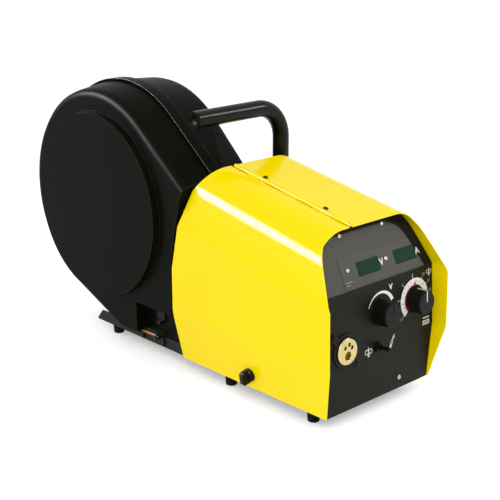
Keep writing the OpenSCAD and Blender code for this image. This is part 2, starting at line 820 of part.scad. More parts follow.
// Side plate with the two idler axles, hung on the pivot pin
module pressure_arm() {
    color("#B33A2C") difference() {
        union() {
            box(arm_x, [arm_pivot[0] - 7, drive_y + 50], [high_roll_z - 8, high_roll_z + 18]);
            rod_x(arm_x, 9, arm_pivot[0], arm_pivot[1]);
            box([arm_x[0], wire_x + 10], [drive_y + 28, drive_y + 50], [high_roll_z + 16, high_roll_z + 21]);
            for (y = roll_ys) rod_x([arm_x[1], gear_x[1] + 1], idler_r, y, high_roll_z);
            rod_x([arm_x[1], drive_plate_x[0] - 1], 7, arm_pivot[0], arm_pivot[1]);
        }
        rod_x([-100, 0], idler_r + fit, arm_pivot[0], arm_pivot[1]);
        rod_z([high_roll_z, high_roll_z + 40], 3 + fit, wire_x, drive_y + 40);
    }
}

module arm_pivot_pin() {
    color(steel) {
        rod_x([arm_x[0] - 3, drive_plate_x[1] + 6], idler_r, arm_pivot[0], arm_pivot[1]);
        rod_x([arm_x[0] - 3, arm_x[0] - 0.3], 5, arm_pivot[0], arm_pivot[1]);
    }
}

module pressure_knob() {
    z0 = high_roll_z + 21;
    color("#C8341F") difference() {
        union() {
            rod_z([z0 - 12, z0], 3, wire_x, drive_y + 40);
            rod_z([z0 + 0.3, z0 + 9], 7, wire_x, drive_y + 40);
            translate([wire_x, drive_y + 40, z0 + 9]) cylinder(h = 22, r1 = 9, r2 = 8);
            rod_z([z0 - 0.1, z0 + 0.4], 3, wire_x, drive_y + 40);
        }
        for (i = [0:7]) translate([wire_x, drive_y + 40, z0 + 8]) rotate([0, 0, i*45])
            translate([9.6, 0, 0]) cylinder(h = 24, r = 1.6, $fn = 16);
    }
}

// Inlet, middle and outlet guides on the wire line, each on its own stem
module wire_guides() {
    color("#C7A252") difference() {
        union() {
            rod_y([drive_y + 36, back_y + 8], 4, wire_x, wire_z);
            rod_y([drive_y - 7, drive_y + 7], 4, wire_x, wire_z);
            rod_y([-282, drive_y - 36], 4, wire_x, wire_z);
            for (y = [drive_y - 44, drive_y, drive_y + 44]) {
                rod_x([wire_x, drive_plate_x[0]], 3.5, y, wire_z);
                rod_x([drive_plate_x[0] - 1, drive_plate_x[1]], 2, y, wire_z);
            }
            rod_y([back_y, back_y + 8], 12, wire_x, wire_z);
        }
        rod_y([-300, 0], 1.2, wire_x, wire_z);
    }
}

// Spool pot

// Side outline of the pot, grown by g, as [y, z] points
function pot_points(r, g, slope) =
    let (foot = [pot_base_y - pot_y, pot_base_z - g - pot_z],
         reach = norm(foot),
         low_a = atan2(foot[1], foot[0]) + acos(min(1, (r + g)/reach)),
         high_a = 90 + slope,
         steps = 56,
         front = -70,
         n = [cos(high_a), sin(high_a)],
         run = (front - pot_y - (r + g)*n[0])/cos(180 + slope))
    concat([for (i = [0:steps]) let (a = high_a + (low_a - high_a)*i/steps)
                [pot_y + (r + g)*cos(a), pot_z + (r + g)*sin(a)]],
           [[pot_base_y, pot_base_z - g], [front, pot_base_z - g]],
           [[front, pot_z + (r + g)*n[1] + run*sin(180 + slope)]]);

// Thin slice whose far face from the joint lies at x
module pot_slice(x, side, r, g, slope) {
    along_x(side > 0 ? [x - slice_t, x] : [x, x + slice_t]) polygon(pot_points(r, g, slope));
}

// Solid of one half: side is -1 for the left, 1 for the right; g grows it
module pot_half(side, g) {
    face_x = side < 0 ? pot_left_x - g : pot_right_x + g;
    rim_r = side < 0 ? face_r : right_r;
    slope = side < 0 ? slope_left : slope_right;
    f = pot_fillet;
    hull() {
        pot_slice(pot_part_x, -side, pot_r, g, slope_left);
        for (a = [0, 30, 60, 90])
            pot_slice(face_x - side*f*(1 - sin(a)), side, rim_r - f*(1 - cos(a)), g, slope);
    }
}

// Space behind the pot's front edge, d = distance behind it
module pot_length(d) {
    along_x([-160, 60])
        polygon(concat([for (p = pot_front) [p[0] + d, p[1]]], [[-56 + d, 500], [400, 500], [400, 0]]));
}

module pot_shell(side) {
    difference() {
        intersection() {
            pot_half(side, 0);
            pot_length(0);
        }
        intersection() {
            pot_half(side, -pot_wall);
            pot_length(pot_wall);
        }
    }
}

module pot_left_half() {
    lip = 1.2;
    color(plastic) difference() {
        union() {
            difference() {
                intersection() {
                    pot_half(-1, 0);
                    pot_length(0);
                }
                box([-200, notch_x], notch_y, notch_z);
            }
            translate([pot_left_x + 4, disc_at[0], disc_at[1]]) rotate([0, -90, 0])
                cylinder(h = disc_h + 4, r1 = disc_r + 2, r2 = disc_r - 1, $fn = 96);
        }
        difference() {
            intersection() {
                pot_half(-1, -pot_wall);
                pot_length(pot_wall);
            }
            box([-200, notch_x + pot_wall], [notch_y[0], notch_y[1] + pot_wall], [notch_z[0], notch_z[1] + pot_wall]);
        }
        translate([pot_left_x + 5, disc_at[0], disc_at[1]]) rotate([0, -90, 0])
            cylinder(h = disc_h + 5 - pot_wall, r = disc_r - 1 - pot_wall, $fn = 96);
        box([pot_part_x - lip, 0], [-100, 400], [0, 500]);
        rod_y([-100, 0], 12, wire_x, wire_z);
        rod_y([rod_y_ends[0] - 10, rod_y_ends[1] + 2], 7.2, pot_hinge_x, pot_hinge_z);
    }
    color(plastic) for (ys = knuckle_ys) difference() {
        union() {
            rod_y(ys, 5.2, pot_hinge_x, pot_hinge_z);
            box([pot_hinge_x - 9, pot_hinge_x + 9], ys, [pot_hinge_z + 3, pot_hinge_z + 6]);
        }
        rod_y([ys[0] - 1, ys[1] + 1], pot_hinge_r + fit, pot_hinge_x, pot_hinge_z);
    }
}

module pot_right_half() {
    color(plastic) difference() {
        pot_shell(1);
        rod_y([-100, 0], 12, wire_x, wire_z);
        rod_x([pot_right_x - 10, pot_right_x + 10], axle_r + 0.3, pot_y, pot_z);
        for (a = [45:90:315]) translate([0, pot_y, pot_z]) rotate([a, 0, 0])
            rod_x([pot_right_x - 10, pot_right_x + 10], 3.2, 0, 30);
    }
}

// Band that covers the joint between the halves, fixed to the right one
module pot_band() {
    color(plastic) difference() {
        intersection() {
            along_x([pot_part_x - band_hw, pot_part_x + band_hw]) polygon(pot_points(pot_r, 3, slope_left));
            pot_length(1);
        }
        along_x([pot_part_x - 30, pot_part_x]) polygon(pot_points(pot_r, 1.8, slope_left));
        along_x([pot_part_x - 1, pot_part_x + 30]) polygon(pot_points(pot_r, 0.1, slope_left));
        box([-200, 100], [-100, 400], [0, pot_base_z + 1]);
    }
}

module pot_hinge_rod() {
    color("#B9762E") rod_y(rod_y_ends, pot_hinge_r, pot_hinge_x, pot_hinge_z);
}

module pot_hinge_brackets() {
    color(black) for (y = bracket_ys) difference() {
        union() {
            box([pot_hinge_x, -tray_hw], [y, y + 6], [pot_hinge_z - 5.4, pot_hinge_z - 2.4]);
            rod_y([y, y + 6], 5.4, pot_hinge_x, pot_hinge_z);
            box([-tray_hw - 3, -tray_hw], [y, y + 6], [tray_z + 2, pot_hinge_z - 4.4]);
        }
        rod_y([y - 1, y + 7], pot_hinge_r + fit, pot_hinge_x, pot_hinge_z);
    }
}

module pot_latch() {
    color("#2A2B2C") {
        box([notch_x - 3, notch_x], [30, 50], [70, 92]);
        box([notch_x - 8, notch_x], [36, 44], [64, 70]);
    }
}

module spool_post() {
    color(black) difference() {
        union() {
            box(post_x, [pot_y - 42, pot_y + 42], [tray_floor, pot_z]);
            rod_x(post_x, 42, pot_y, pot_z);
            box([post_x[0], post_x[1] + 30], [pot_y - 42, pot_y + 42], [tray_floor, tray_floor + 4]);
            for (y = [pot_y - 42, pot_y + 38]) along_y([y, y + 4])
                polygon([[post_x[1], tray_floor + 4], [post_x[1] + 30, tray_floor + 4], [post_x[1], gusset_z]]);
            for (a = [45:90:315]) translate([0, pot_y, pot_z]) rotate([a, 0, 0])
                rod_x([pot_right_x, post_x[0]], 6, 0, 30);
        }
        rod_x([0, 60], axle_r + fit, pot_y, pot_z);
    }
}

module hub_axle() {
    color(steel) difference() {
        union() {
            rod_x([hub_face + 5, post_x[1] + 14], axle_r, pot_y, pot_z);
            rod_x([post_x[1] + 0.2, post_x[1] + 10], 14, pot_y, pot_z);
            rod_x([hub_x[1] + 1, hub_x[1] + 5], 13, pot_y, pot_z);
        }
        rod_x([post_x[1] + 12, post_x[1] + 20], 4, pot_y, pot_z);
    }
}

module spool_hub() {
    color("#2F3236") difference() {
        union() {
            rod_x([hub_x[0] + 8, hub_x[1] - 6], hub_r, pot_y, pot_z);
            rod_x([hub_x[1] - 6, hub_x[1]], 40, pot_y, pot_z);
            rod_x([hub_x[1] - 18, hub_x[1] - 6], 4.8, pot_y, pot_z + 31);
            rod_x([hub_face, hub_x[0] + 8], hub_r - 3, pot_y, pot_z);
            rod_x([latch_x[0] - 0.3, hub_face], 3, pot_y, latch_z);
            rod_x([latch_x[0] - 2, latch_x[0] - 0.3], 5, pot_y, latch_z);
        }
        rod_x([hub_face + 4.5, hub_x[1] + 5], axle_r + fit, pot_y, pot_z);
        for (a = [0:60:300]) translate([0, pot_y, pot_z]) rotate([a, 0, 0])
            box([hub_x[0], hub_x[0] + 40], [-2.5, 2.5], [hub_r - 6, hub_r + 2]);
    }
}

// Turn button beside the hub's axis: it stands out past the spool's bore, and lies inside it half a turn on
module hub_latch() {
    color("#C8341F") difference() {
        union() {
            rod_x(latch_x, 10, pot_y, latch_z);
            rod_x(latch_x, 14, pot_y, latch_z + latch_off);
            box(latch_x, [pot_y - 9, pot_y + 9], [latch_z, latch_z + latch_off]);
            box([latch_x[0] - 4, latch_x[0]], [pot_y - 3, pot_y + 3], [latch_z + 7, latch_z + 24]);
        }
        rod_x([latch_x[0] - 1, hub_face], 3 + fit, pot_y, latch_z);
    }
}

// Handle

// Handle's middle line, swept with radius r
module handle_sweep(r) {
    bend_x = handle_leg_x - handle_bend_r;
    bend_z = grip_z - handle_bend_r;
    rod_z([handle_foot_z, bend_z], r, handle_leg_x, handle_y);
    rod_x([grip_x, bend_x], r, handle_y, grip_z);
    translate([bend_x, handle_y, bend_z]) rotate([90, 0, 0])
        rotate_extrude(angle = 90, $fn = 96) translate([handle_bend_r, 0]) circle(r);
}

module handle_tube() {
    bend_x = handle_leg_x - handle_bend_r;
    bend_z = grip_z - handle_bend_r;
    color("#17181A") difference() {
        handle_sweep(handle_r);
        rod_z([handle_foot_z - 1, bend_z], handle_r - handle_wall, handle_leg_x, handle_y);
        rod_x([grip_x - 1, bend_x], handle_r - handle_wall, handle_y, grip_z);
        translate([bend_x, handle_y, bend_z]) rotate([90, 0, 0])
            rotate_extrude(angle = 90, $fn = 96) translate([handle_bend_r, 0]) circle(handle_r - handle_wall);
    }
}

module handle_plugs() {
    color("#101010") {
        difference() {
            union() {
                rod_x([grip_x + 1, grip_x + 16], handle_r - handle_wall - 0.1, handle_y, grip_z);
                rod_x([grip_x - 2, grip_x - 0.1], handle_r - 0.4, handle_y, grip_z);
                rod_x([grip_x - 0.2, grip_x + 1.1], handle_r - handle_wall - 0.1, handle_y, grip_z);
            }
            translate([grip_x - 9, handle_y, grip_z]) sphere(r = 11);
        }
        rod_z([handle_foot_z - 3, handle_foot_z - 0.1], handle_r - 0.4, handle_leg_x, handle_y);
        rod_z([handle_foot_z - 0.2, handle_foot_z + 12], handle_r - handle_wall - 0.1, handle_leg_x, handle_y);
    }
}

// Saddles that clamp the leg to the rear panel
module handle_saddles() {
    color("#3B3D40") for (z = saddle_zs) difference() {
        union() {
            rod_z([z - 12, z + 12], handle_r + 3, handle_leg_x, handle_y);
            box([handle_leg_x - 28, handle_leg_x + 28], [back_y, back_y + 3], [z - 12, z + 12]);
        }
        rod_z([z - 13, z + 13], handle_r + 0.1, handle_leg_x, handle_y);
        box([handle_leg_x - 30, handle_leg_x + 30], [back_y - 20, back_y], [z - 13, z + 13]);
        for (side = [-1, 1]) rod_y([back_y - 1, back_y + 4], 3.2, handle_leg_x + side*saddle_bolt, z);
    }
}

module handle_bolts() {
    color(steel) for (z = saddle_zs, side = [-1, 1]) translate([handle_leg_x + side*saddle_bolt, back_y + 3, z]) {
        rotate([-90, 0, 0]) cylinder(h = 4, r = 5.2, $fn = 6);
        rod_y([-12, 0], 3, 0, 0);
        difference() {
            rod_y([-3 - panel_t - 5, -3 - panel_t], 5.2, 0, 0);
            rod_y([-20, 0], 3.05, 0, 0);
        }
    }
}

// Electrics and gas

module control_board() {
    color("#1F5B36") {
        box([wall_x + 14, wall_x + 15.6], [-280, -90], [150, 250]);
        for (y = [-272, -98], z = [158, 242]) rod_x([wall_x + wall_t, wall_x + 14], 3, y, z);
        for (y = [-250, -225]) rod_x([wall_x + 15.6, wall_x + 45], 10, y, 175);
        box([wall_x + 15.6, wall_x + 35], [-200, -150], [200, 240]);
        box([wall_x + 15.6, wall_x + 30], [-130, -100], [160, 230]);
    }
}

module current_socket() {
    color("#24262A") difference() {
        union() {
            rod_y([back_y, back_y + 16], 18, 46, 75);
            rod_y([back_y - 8, back_y], 13, 46, 75);
            rod_y([back_y - 30, back_y - 7], 6.5, 46, 75);
        }
        rod_y([back_y - 5, back_y + 20], 6.5, 46, 75);
        rod_y([back_y + 13, back_y + 20], 9, 46, 75);
    }
}

module control_socket() {
    color("#A7AAAD") difference() {
        union() {
            translate([30, back_y, 124]) cube([32, 3, 32]);
            rod_y([back_y + 3, back_y + 18], 14, 46, 140);
            rod_y([back_y - 16, back_y], 12, 46, 140);
        }
        rod_y([back_y + 6, back_y + 30], 12, 46, 140);
    }
    color("#202020") for (a = [0:40:320]) translate([46, 0, 140]) rotate([0, a, 0])
        rod_y([back_y + 5.9, back_y + 14], 1, 8, 0);
}

module gas_inlet() {
    color("#C7A252") {
        difference() {
            union() {
                rod_y([back_y, back_y + 8], 8.5, 46, 195);
                rod_y([back_y + 8, back_y + 26], 4, 46, 195);
                for (y = [12, 17, 22]) translate([46, back_y + y, 195]) rotate([-90, 0, 0])
                    cylinder(h = 4, r1 = 5, r2 = 4);
                rod_y([back_y - 12, back_y], 5, 46, 195);
            }
            rod_y([back_y - 20, back_y + 30], 2.5, 46, 195);
        }
    }
}

module gas_valve() {
    color("#54575B") {
        box([34, 58], [back_y - 40, back_y - 12], [184, 206]);
        rod_z([206, 240], 11, 46, back_y - 26);
        rod_x([26, 34], 4, back_y - 26, 195);
    }
}

// Hose from the valve, down and through the wall to the torch connector
module gas_hose() {
    y0 = back_y - 26;
    color("#1B1B1B") {
        rod_z([64, 187], 4, 26, y0);
        translate([26, y0, 187]) sphere(r = 4, $fn = 32);
        translate([26, y0, 64]) sphere(r = 4, $fn = 32);
        rod_y([-100, y0], 4, 26, 64);
        translate([26, -100, 64]) sphere(r = 4, $fn = 32);
        rod_x([-62, 26], 4, -100, 64);
        translate([-62, -100, 64]) sphere(r = 4, $fn = 32);
        rod_y([-276, -100], 4, -62, 64);
        translate([-62, -276, 64]) sphere(r = 4, $fn = 32);
        rod_z([64, 96], 4, -62, -276);
    }
}

module current_bar() {
    color("#B87333") {
        box([43, 49], [back_y - 36, back_y - 30], [38, 84]);
        box([-70, 49], [back_y - 42, back_y - 36.1], [38, 48]);
        box([-70, -62], [-296, back_y - 42], [38, 48]);
        box([-70, -62], [-302, -296], [38, 97]);
    }
}

base_tray();
rubber_feet();
foot_screws();
front_panel();
rear_panel();
centre_wall();
right_cover();
side_door();
hinge_fixed_leaf();
hinge_door_leaf();
hinge_pin();
black_screws();
door_latch_knob();
control_overlay();
display_plate();
voltage_window();
current_window();
display_board();
panel_screws();
voltage_knob();
wire_speed_knob();
potentiometers();
toggle_switch();
toggle_lever();
euro_flange();
euro_body();
drive_plate();
drive_pillars();
gearbox();
drive_motor();
drive_pinion();
lower_roll_front();
lower_roll_rear();
upper_roll_front();
upper_roll_rear();
pressure_arm();
pressure_knob();
arm_pivot_pin();
wire_guides();
spool_post();
hub_axle();
spool_hub();
hub_latch();
pot_right_half();
pot_band();
pot_left_half();
pot_hinge_rod();
pot_hinge_brackets();
pot_latch();
handle_tube();
handle_plugs();
handle_saddles();
handle_bolts();
control_board();
current_socket();
control_socket();
gas_inlet();
gas_valve();
current_bar();
gas_hose();
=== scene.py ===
import json
import math
import bpy
from mathutils import Matrix, Vector


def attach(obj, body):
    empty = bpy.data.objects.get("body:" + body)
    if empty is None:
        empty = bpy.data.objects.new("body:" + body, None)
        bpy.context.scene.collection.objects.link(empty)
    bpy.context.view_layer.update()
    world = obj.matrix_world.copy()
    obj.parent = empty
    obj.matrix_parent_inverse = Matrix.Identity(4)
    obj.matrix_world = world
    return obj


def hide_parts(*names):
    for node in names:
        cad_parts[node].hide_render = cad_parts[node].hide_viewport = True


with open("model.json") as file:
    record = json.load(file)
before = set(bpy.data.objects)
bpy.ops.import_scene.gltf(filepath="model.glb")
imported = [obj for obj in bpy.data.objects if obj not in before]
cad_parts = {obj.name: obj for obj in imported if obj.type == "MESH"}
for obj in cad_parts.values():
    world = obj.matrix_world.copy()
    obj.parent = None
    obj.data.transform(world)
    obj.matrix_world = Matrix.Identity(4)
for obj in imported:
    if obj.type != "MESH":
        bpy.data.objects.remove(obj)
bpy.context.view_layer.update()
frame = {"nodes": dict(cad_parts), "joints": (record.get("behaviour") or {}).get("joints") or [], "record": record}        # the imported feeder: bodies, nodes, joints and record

mm = 0.001
nodes = frame["nodes"]
joints = {joint["name"]: joint for joint in frame["joints"]}
bodyOf = {node: body for body, members in frame["record"]["behaviour"]["bodies"].items() for node in members}


def deselectAll():
    bpy.ops.object.select_all(action="DESELECT")


def makeActive(piece):
    deselectAll()
    piece.select_set(True)
    bpy.context.view_layer.objects.active = piece


def linearColour(hexCode):
    # sRGB hex to the linear values that the shader takes
    parts = [int(hexCode[i:i + 2], 16) / 255 for i in (1, 3, 5)]
    return tuple(p / 12.92 if p <= 0.04045 else ((p + 0.055) / 1.055) ** 2.4 for p in parts) + (1.0,)


def addNode(tree, kind, settings=None, links=None):
    # settings are attributes or input values, links are sockets that feed the inputs
    node = tree.nodes.new(kind)
    for key, value in (settings or {}).items():
        if isinstance(key, str) and hasattr(node, key):
            setattr(node, key, value)
        else:
            node.inputs[key].default_value = value
    for key, socket in (links or {}).items():
        tree.links.new(socket, node.inputs[key])
    return node


mixDark, mixLight, mixResult = 6, 7, 2        # the colour sockets of a Mix node


def newFinish(name, values):
    # The shared build of a finish: a patchy tone, a grain in the bump and a breathing roughness.
    # The gloss scales how much a non-metal reflects, and 0.5 leaves that to its IOR alone.
    material = bpy.data.materials.new(name)
    material.use_nodes = True
    tree = material.node_tree
    shader = tree.nodes["Principled BSDF"]
    where = addNode(tree, "ShaderNodeTexCoord").outputs["Object"]
    patches = addNode(tree, "ShaderNodeTexNoise", {
        "Scale": 1 / (values["patchMm"] * mm), "Detail": 4.0, "Roughness": 0.6}, {"Vector": where})
    tone = addNode(tree, "ShaderNodeMix", {
        "data_type": "RGBA", mixDark: linearColour(values["deep"]), mixLight: linearColour(values["colour"])},
        {"Factor": patches.outputs["Fac"]})
    grain = addNode(tree, "ShaderNodeTexNoise", {
        "Scale": 1 / (values["grainMm"] * mm), "Detail": values.get("grainDetail", 3.0)}, {"Vector": where})
    bump = addNode(tree, "ShaderNodeBump", {"Strength": 1.0, "Distance": values["grainDepthMm"] * mm},
                   {"Height": grain.outputs["Fac"]})
    middle, spread = values["rough"], values["roughSpread"]
    rough = addNode(tree, "ShaderNodeMapRange", {"To Min": middle - spread, "To Max": middle + spread},
                    {"Value": patches.outputs["Fac"]})
    tree.links.new(tone.outputs[mixResult], shader.inputs["Base Color"])
    tree.links.new(rough.outputs["Result"], shader.inputs["Roughness"])
    tree.links.new(bump.outputs["Normal"], shader.inputs["Normal"])
    shader.inputs["Metallic"].default_value = values.get("metal", 0.0)
    for key, socket in (("ior", "IOR"), ("gloss", "Specular IOR Level")):
        if key in values:
            shader.inputs[socket].default_value = values[key]
    return {"material": material, "tree": tree, "shader": shader, "where": where, "tone": tone}


def yellowPowderCoat():
    # Gloss polyester powder on steel: even yellow, soft orange peel, sharp clear highlights.
    # Its IOR is low, so that the flat faces don't pale when they are seen at a shallow angle.
    return newFinish("yellowPowderCoat", {
        "colour": "#FBE102", "deep": "#F7DB01", "patchMm": 160, "grainMm": 2.2, "grainDepthMm": 0.01,
        "grainDetail": 1.0, "rough": 0.11, "roughSpread": 0.015, "gloss": 0.5, "ior": 1.2})["material"]


def blackPowderCoat():
    # Fine-texture black powder: broken, satin highlights with a grain of under a millimetre
    return newFinish("blackPowderCoat", {
        "colour": "#181913", "deep": "#13140F", "patchMm": 60, "grainMm": 0.8, "grainDepthMm": 0.03,
        "rough": 0.42, "roughSpread": 0.06, "gloss": 0.1, "ior": 1.5})["material"]


def tubePaint():
    # Satin black stove enamel on a drawn tube: smooth, one long soft highlight
    return newFinish("tubePaint", {
        "colour": "#100F0A", "deep": "#0C0B07", "patchMm": 45, "grainMm": 1.6, "grainDepthMm": 0.004,
        "rough": 0.2, "roughSpread": 0.03, "gloss": 0.14, "ior": 1.5})["material"]


def mouldedPolyethylene():
    # Leather-grained black polyethylene: dull, slightly green-black, with wide dim highlights
    return newFinish("mouldedPolyethylene", {
        "colour": "#0D0E08", "deep": "#080905", "patchMm": 90, "grainMm": 1.1, "grainDepthMm": 0.05,
        "rough": 0.38, "roughSpread": 0.05, "gloss": 0.025, "ior": 1.5})["material"]


def paintedHighlightPolyethylene():
    # The pot's moulded edges, smoother and glossier than its faces and given a paler colour as a painted
    # highlight, so that each step shows as a thin light line
    return newFinish("paintedHighlightPolyethylene", {
        "colour": "#3B3C32", "deep": "#2E2F26", "patchMm": 30, "grainMm": 0.8, "grainDepthMm": 0.01,
        "rough": 0.3, "roughSpread": 0.06, "gloss": 0.3, "ior": 1.5})["material"]


def blackAbs():
    # Moulded black ABS of the knobs and fittings: finer grain, a little shinier
    return newFinish("blackAbs", {
        "colour": "#121210", "deep": "#0D0D0B", "patchMm": 14, "grainMm": 0.45, "grainDepthMm": 0.012,
        "rough": 0.36, "roughSpread": 0.06, "gloss": 0.1, "ior": 1.53})["material"]


def footRubber():
    # Black nitrile rubber of the feet and the hose: matt, with hardly a highlight
    return newFinish("footRubber", {
        "colour": "#0F0F0E", "deep": "#0A0A0A", "patchMm": 8, "grainMm": 0.6, "grainDepthMm": 0.03,
        "rough": 0.7, "roughSpread": 0.08, "gloss": 0.05, "ior": 1.5})["material"]


def speckledFilm(name, values):
    # A printed film whose grain is a fine light and dark speckle in the ink
    finish = newFinish(name, values)
    tree = finish["tree"]
    speck = addNode(tree, "ShaderNodeTexNoise", {"Scale": 1 / (values["speckMm"] * mm), "Detail": 1.0},
                    {"Vector": finish["where"]})
    sharp = addNode(tree, "ShaderNodeMapRange", {
        "From Min": 0.35, "From Max": 0.65, "To Min": values["speckDark"], "To Max": values["speckLight"]},
        {"Value": speck.outputs["Fac"]})
    shade = addNode(tree, "ShaderNodeVectorMath", {"operation": "SCALE"},
                    {0: finish["tone"].outputs[mixResult], "Scale": sharp.outputs["Result"]})
    tree.links.new(shade.outputs["Vector"], finish["shader"].inputs["Base Color"])
    return finish["material"]


def overlayFilm():
    # Grained polyester film printed dark grey: a fine speckle, coarse enough to show, and a soft sheen
    return speckledFilm("overlayFilm", {
        "colour": "#484740", "deep": "#403F38", "patchMm": 30, "grainMm": 0.5, "grainDepthMm": 0.012,
        "rough": 0.45, "roughSpread": 0.05, "gloss": 0.2, "ior": 1.5,
        "speckMm": 1.3, "speckDark": 0.76, "speckLight": 1.16})


def displayFilm():
    # The same film over the display module, a shade lighter than the overlay round it
    return speckledFilm("displayFilm", {
        "colour": "#4B4A44", "deep": "#43423C", "patchMm": 24, "grainMm": 0.5, "grainDepthMm": 0.012,
        "rough": 0.4, "roughSpread": 0.05, "gloss": 0.2, "ior": 1.5,
        "speckMm": 1.3, "speckDark": 0.8, "speckLight": 1.14})


def greenLens():
    # Dark green acrylic: almost black-green with a polished face
    return newFinish("greenLens", {
        "colour": "#0D3526", "deep": "#09281C", "patchMm": 9, "grainMm": 3.0, "grainDepthMm": 0.003,
        "rough": 0.14, "roughSpread": 0.03, "gloss": 0.15, "ior": 1.49})["material"]


def zincPlatedSteel():
    # Bright zinc plate: grey metal with small cloudy patches and an uneven shine
    return newFinish("zincPlatedSteel", {
        "colour": "#C9CBCC", "deep": "#A9ABAD", "patchMm": 5, "grainMm": 0.7, "grainDepthMm": 0.006,
        "rough": 0.3, "roughSpread": 0.1, "metal": 1.0})["material"]


def galvanisedSheet():
    # Hot-dip galvanised sheet: pale, dull zinc with a large soft spangle
    return newFinish("galvanisedSheet", {
        "colour": "#B4B8BB", "deep": "#A2A6AA", "patchMm": 28, "grainMm": 6.0, "grainDepthMm": 0.01,
        "rough": 0.42, "roughSpread": 0.05, "metal": 1.0})["material"]


def blackOxideSteel():
    # Blackened screws: dark, oily, slightly brown metal
    return newFinish("blackOxideSteel", {
        "colour": "#34322F", "deep": "#23221F", "patchMm": 3, "grainMm": 0.4, "grainDepthMm": 0.006,
        "rough": 0.36, "roughSpread": 0.1, "metal": 1.0})["material"]


def turnedSteel():
    # Lathe-turned and hardened steel: bright grey, clouded by oil, with a very fine grain
    return newFinish("turnedSteel", {
        "colour": "#B4B6B8", "deep": "#9A9C9F", "patchMm": 7, "grainMm": 0.35, "grainDepthMm": 0.008,
        "rough": 0.26, "roughSpread": 0.08, "metal": 1.0})["material"]


def castAluminium():
    # Die-cast gearbox: pale matt grey with a sandy skin
    return newFinish("castAluminium", {
        "colour": "#A6A9AC", "deep": "#8C8F92", "patchMm": 12, "grainMm": 0.7, "grainDepthMm": 0.06,
        "rough": 0.5, "roughSpread": 0.08, "metal": 1.0})["material"]


def turnedBrass():
    # Machined brass: warm yellow metal, cloudy, with a satin turned face
    return newFinish("turnedBrass", {
        "colour": "#D9C894", "deep": "#B5A167", "patchMm": 6, "grainMm": 0.5, "grainDepthMm": 0.01,
        "rough": 0.24, "roughSpread": 0.08, "metal": 1.0})["material"]


def copperBarStock():
    # Drawn copper bar: salmon metal with brown stains
    return newFinish("copperBarStock", {
        "colour": "#D98A62", "deep": "#9C5534", "patchMm": 16, "grainMm": 0.5, "grainDepthMm": 0.008,
        "rough": 0.34, "roughSpread": 0.1, "metal": 1.0})["material"]


def passivatedRod():
    # Yellow-passivated zinc: dull brown-gold metal with darker clouds
    return newFinish("passivatedRod", {
        "colour": "#56361F", "deep": "#352214", "patchMm": 6, "grainMm": 0.5, "grainDepthMm": 0.01,
        "rough": 0.5, "roughSpread": 0.1, "metal": 1.0})["material"]


def redNylon():
    # Glass-filled red nylon: dull red with a faint fibre grain
    return newFinish("redNylon", {
        "colour": "#A92A1B", "deep": "#8E2014", "patchMm": 12, "grainMm": 0.6, "grainDepthMm": 0.02,
        "rough": 0.45, "roughSpread": 0.06, "ior": 1.53})["material"]


def solderedBoard():
    # Green solder mask over glass fibre: shiny green, darker in patches where copper lies under it
    return newFinish("solderedBoard", {
        "colour": "#1D6B3A", "deep": "#0F3D22", "patchMm": 3, "grainMm": 1.2, "grainDepthMm": 0.03,
        "rough": 0.3, "roughSpread": 0.08, "ior": 1.55})["material"]


def motorEnamel():
    # Grey-black enamel on the motor's drawn can
    return newFinish("motorEnamel", {
        "colour": "#36393D", "deep": "#2B2E31", "patchMm": 25, "grainMm": 1.2, "grainDepthMm": 0.02,
        "rough": 0.38, "roughSpread": 0.06, "ior": 1.5})["material"]


def whitePrint():
    # Screen-printed white ink: slightly uneven, matt
    return newFinish("whitePrint", {
        "colour": "#EDEDE8", "deep": "#D9D9D3", "patchMm": 5, "grainMm": 0.4, "grainDepthMm": 0.004,
        "rough": 0.55, "roughSpread": 0.05, "ior": 1.5})["material"]


def redPrint():
    # Screen-printed red ink
    return newFinish("redPrint", {
        "colour": "#B83A3C", "deep": "#98282B", "patchMm": 5, "grainMm": 0.4, "grainDepthMm": 0.004,
        "rough": 0.55, "roughSpread": 0.05, "ior": 1.5})["material"]


def greyPrint():
    # Screen-printed grey ink of the dial's fine marks
    return newFinish("greyPrint", {
        "colour": "#77777A", "deep": "#606063", "patchMm": 5, "grainMm": 0.4, "grainDepthMm": 0.004,
        "rough": 0.55, "roughSpread": 0.05, "ior": 1.5})["material"]


def silverPrint():
    # Screen-printed silver-grey ink of the dial's numbers and the smallest lines
    return newFinish("silverPrint", {
        "colour": "#A5A5A1", "deep": "#8C8C88", "patchMm": 5, "grainMm": 0.4, "grainDepthMm": 0.004,
        "rough": 0.5, "roughSpread": 0.05, "ior": 1.5})["material"]


def unlitSegments():
    # Switched-off display segments: a shade lighter than the lens that they show through
    return newFinish("unlitSegments", {
        "colour": "#0E3828", "deep": "#0A2A1E", "patchMm": 6, "grainMm": 3.0, "grainDepthMm": 0.002,
        "rough": 0.2, "roughSpread": 0.03, "gloss": 0.15, "ior": 1.49})["material"]


finishes = {make.__name__: make() for make in (
    yellowPowderCoat, blackPowderCoat, tubePaint, mouldedPolyethylene, blackAbs, footRubber, overlayFilm,
    displayFilm, greenLens, zincPlatedSteel, galvanisedSheet, blackOxideSteel, turnedSteel, castAluminium,
    turnedBrass, copperBarStock, passivatedRod, redNylon, solderedBoard, motorEnamel, whitePrint, redPrint,
    greyPrint, silverPrint, unlitSegments, paintedHighlightPolyethylene)}
print("finishes made:", len(finishes))

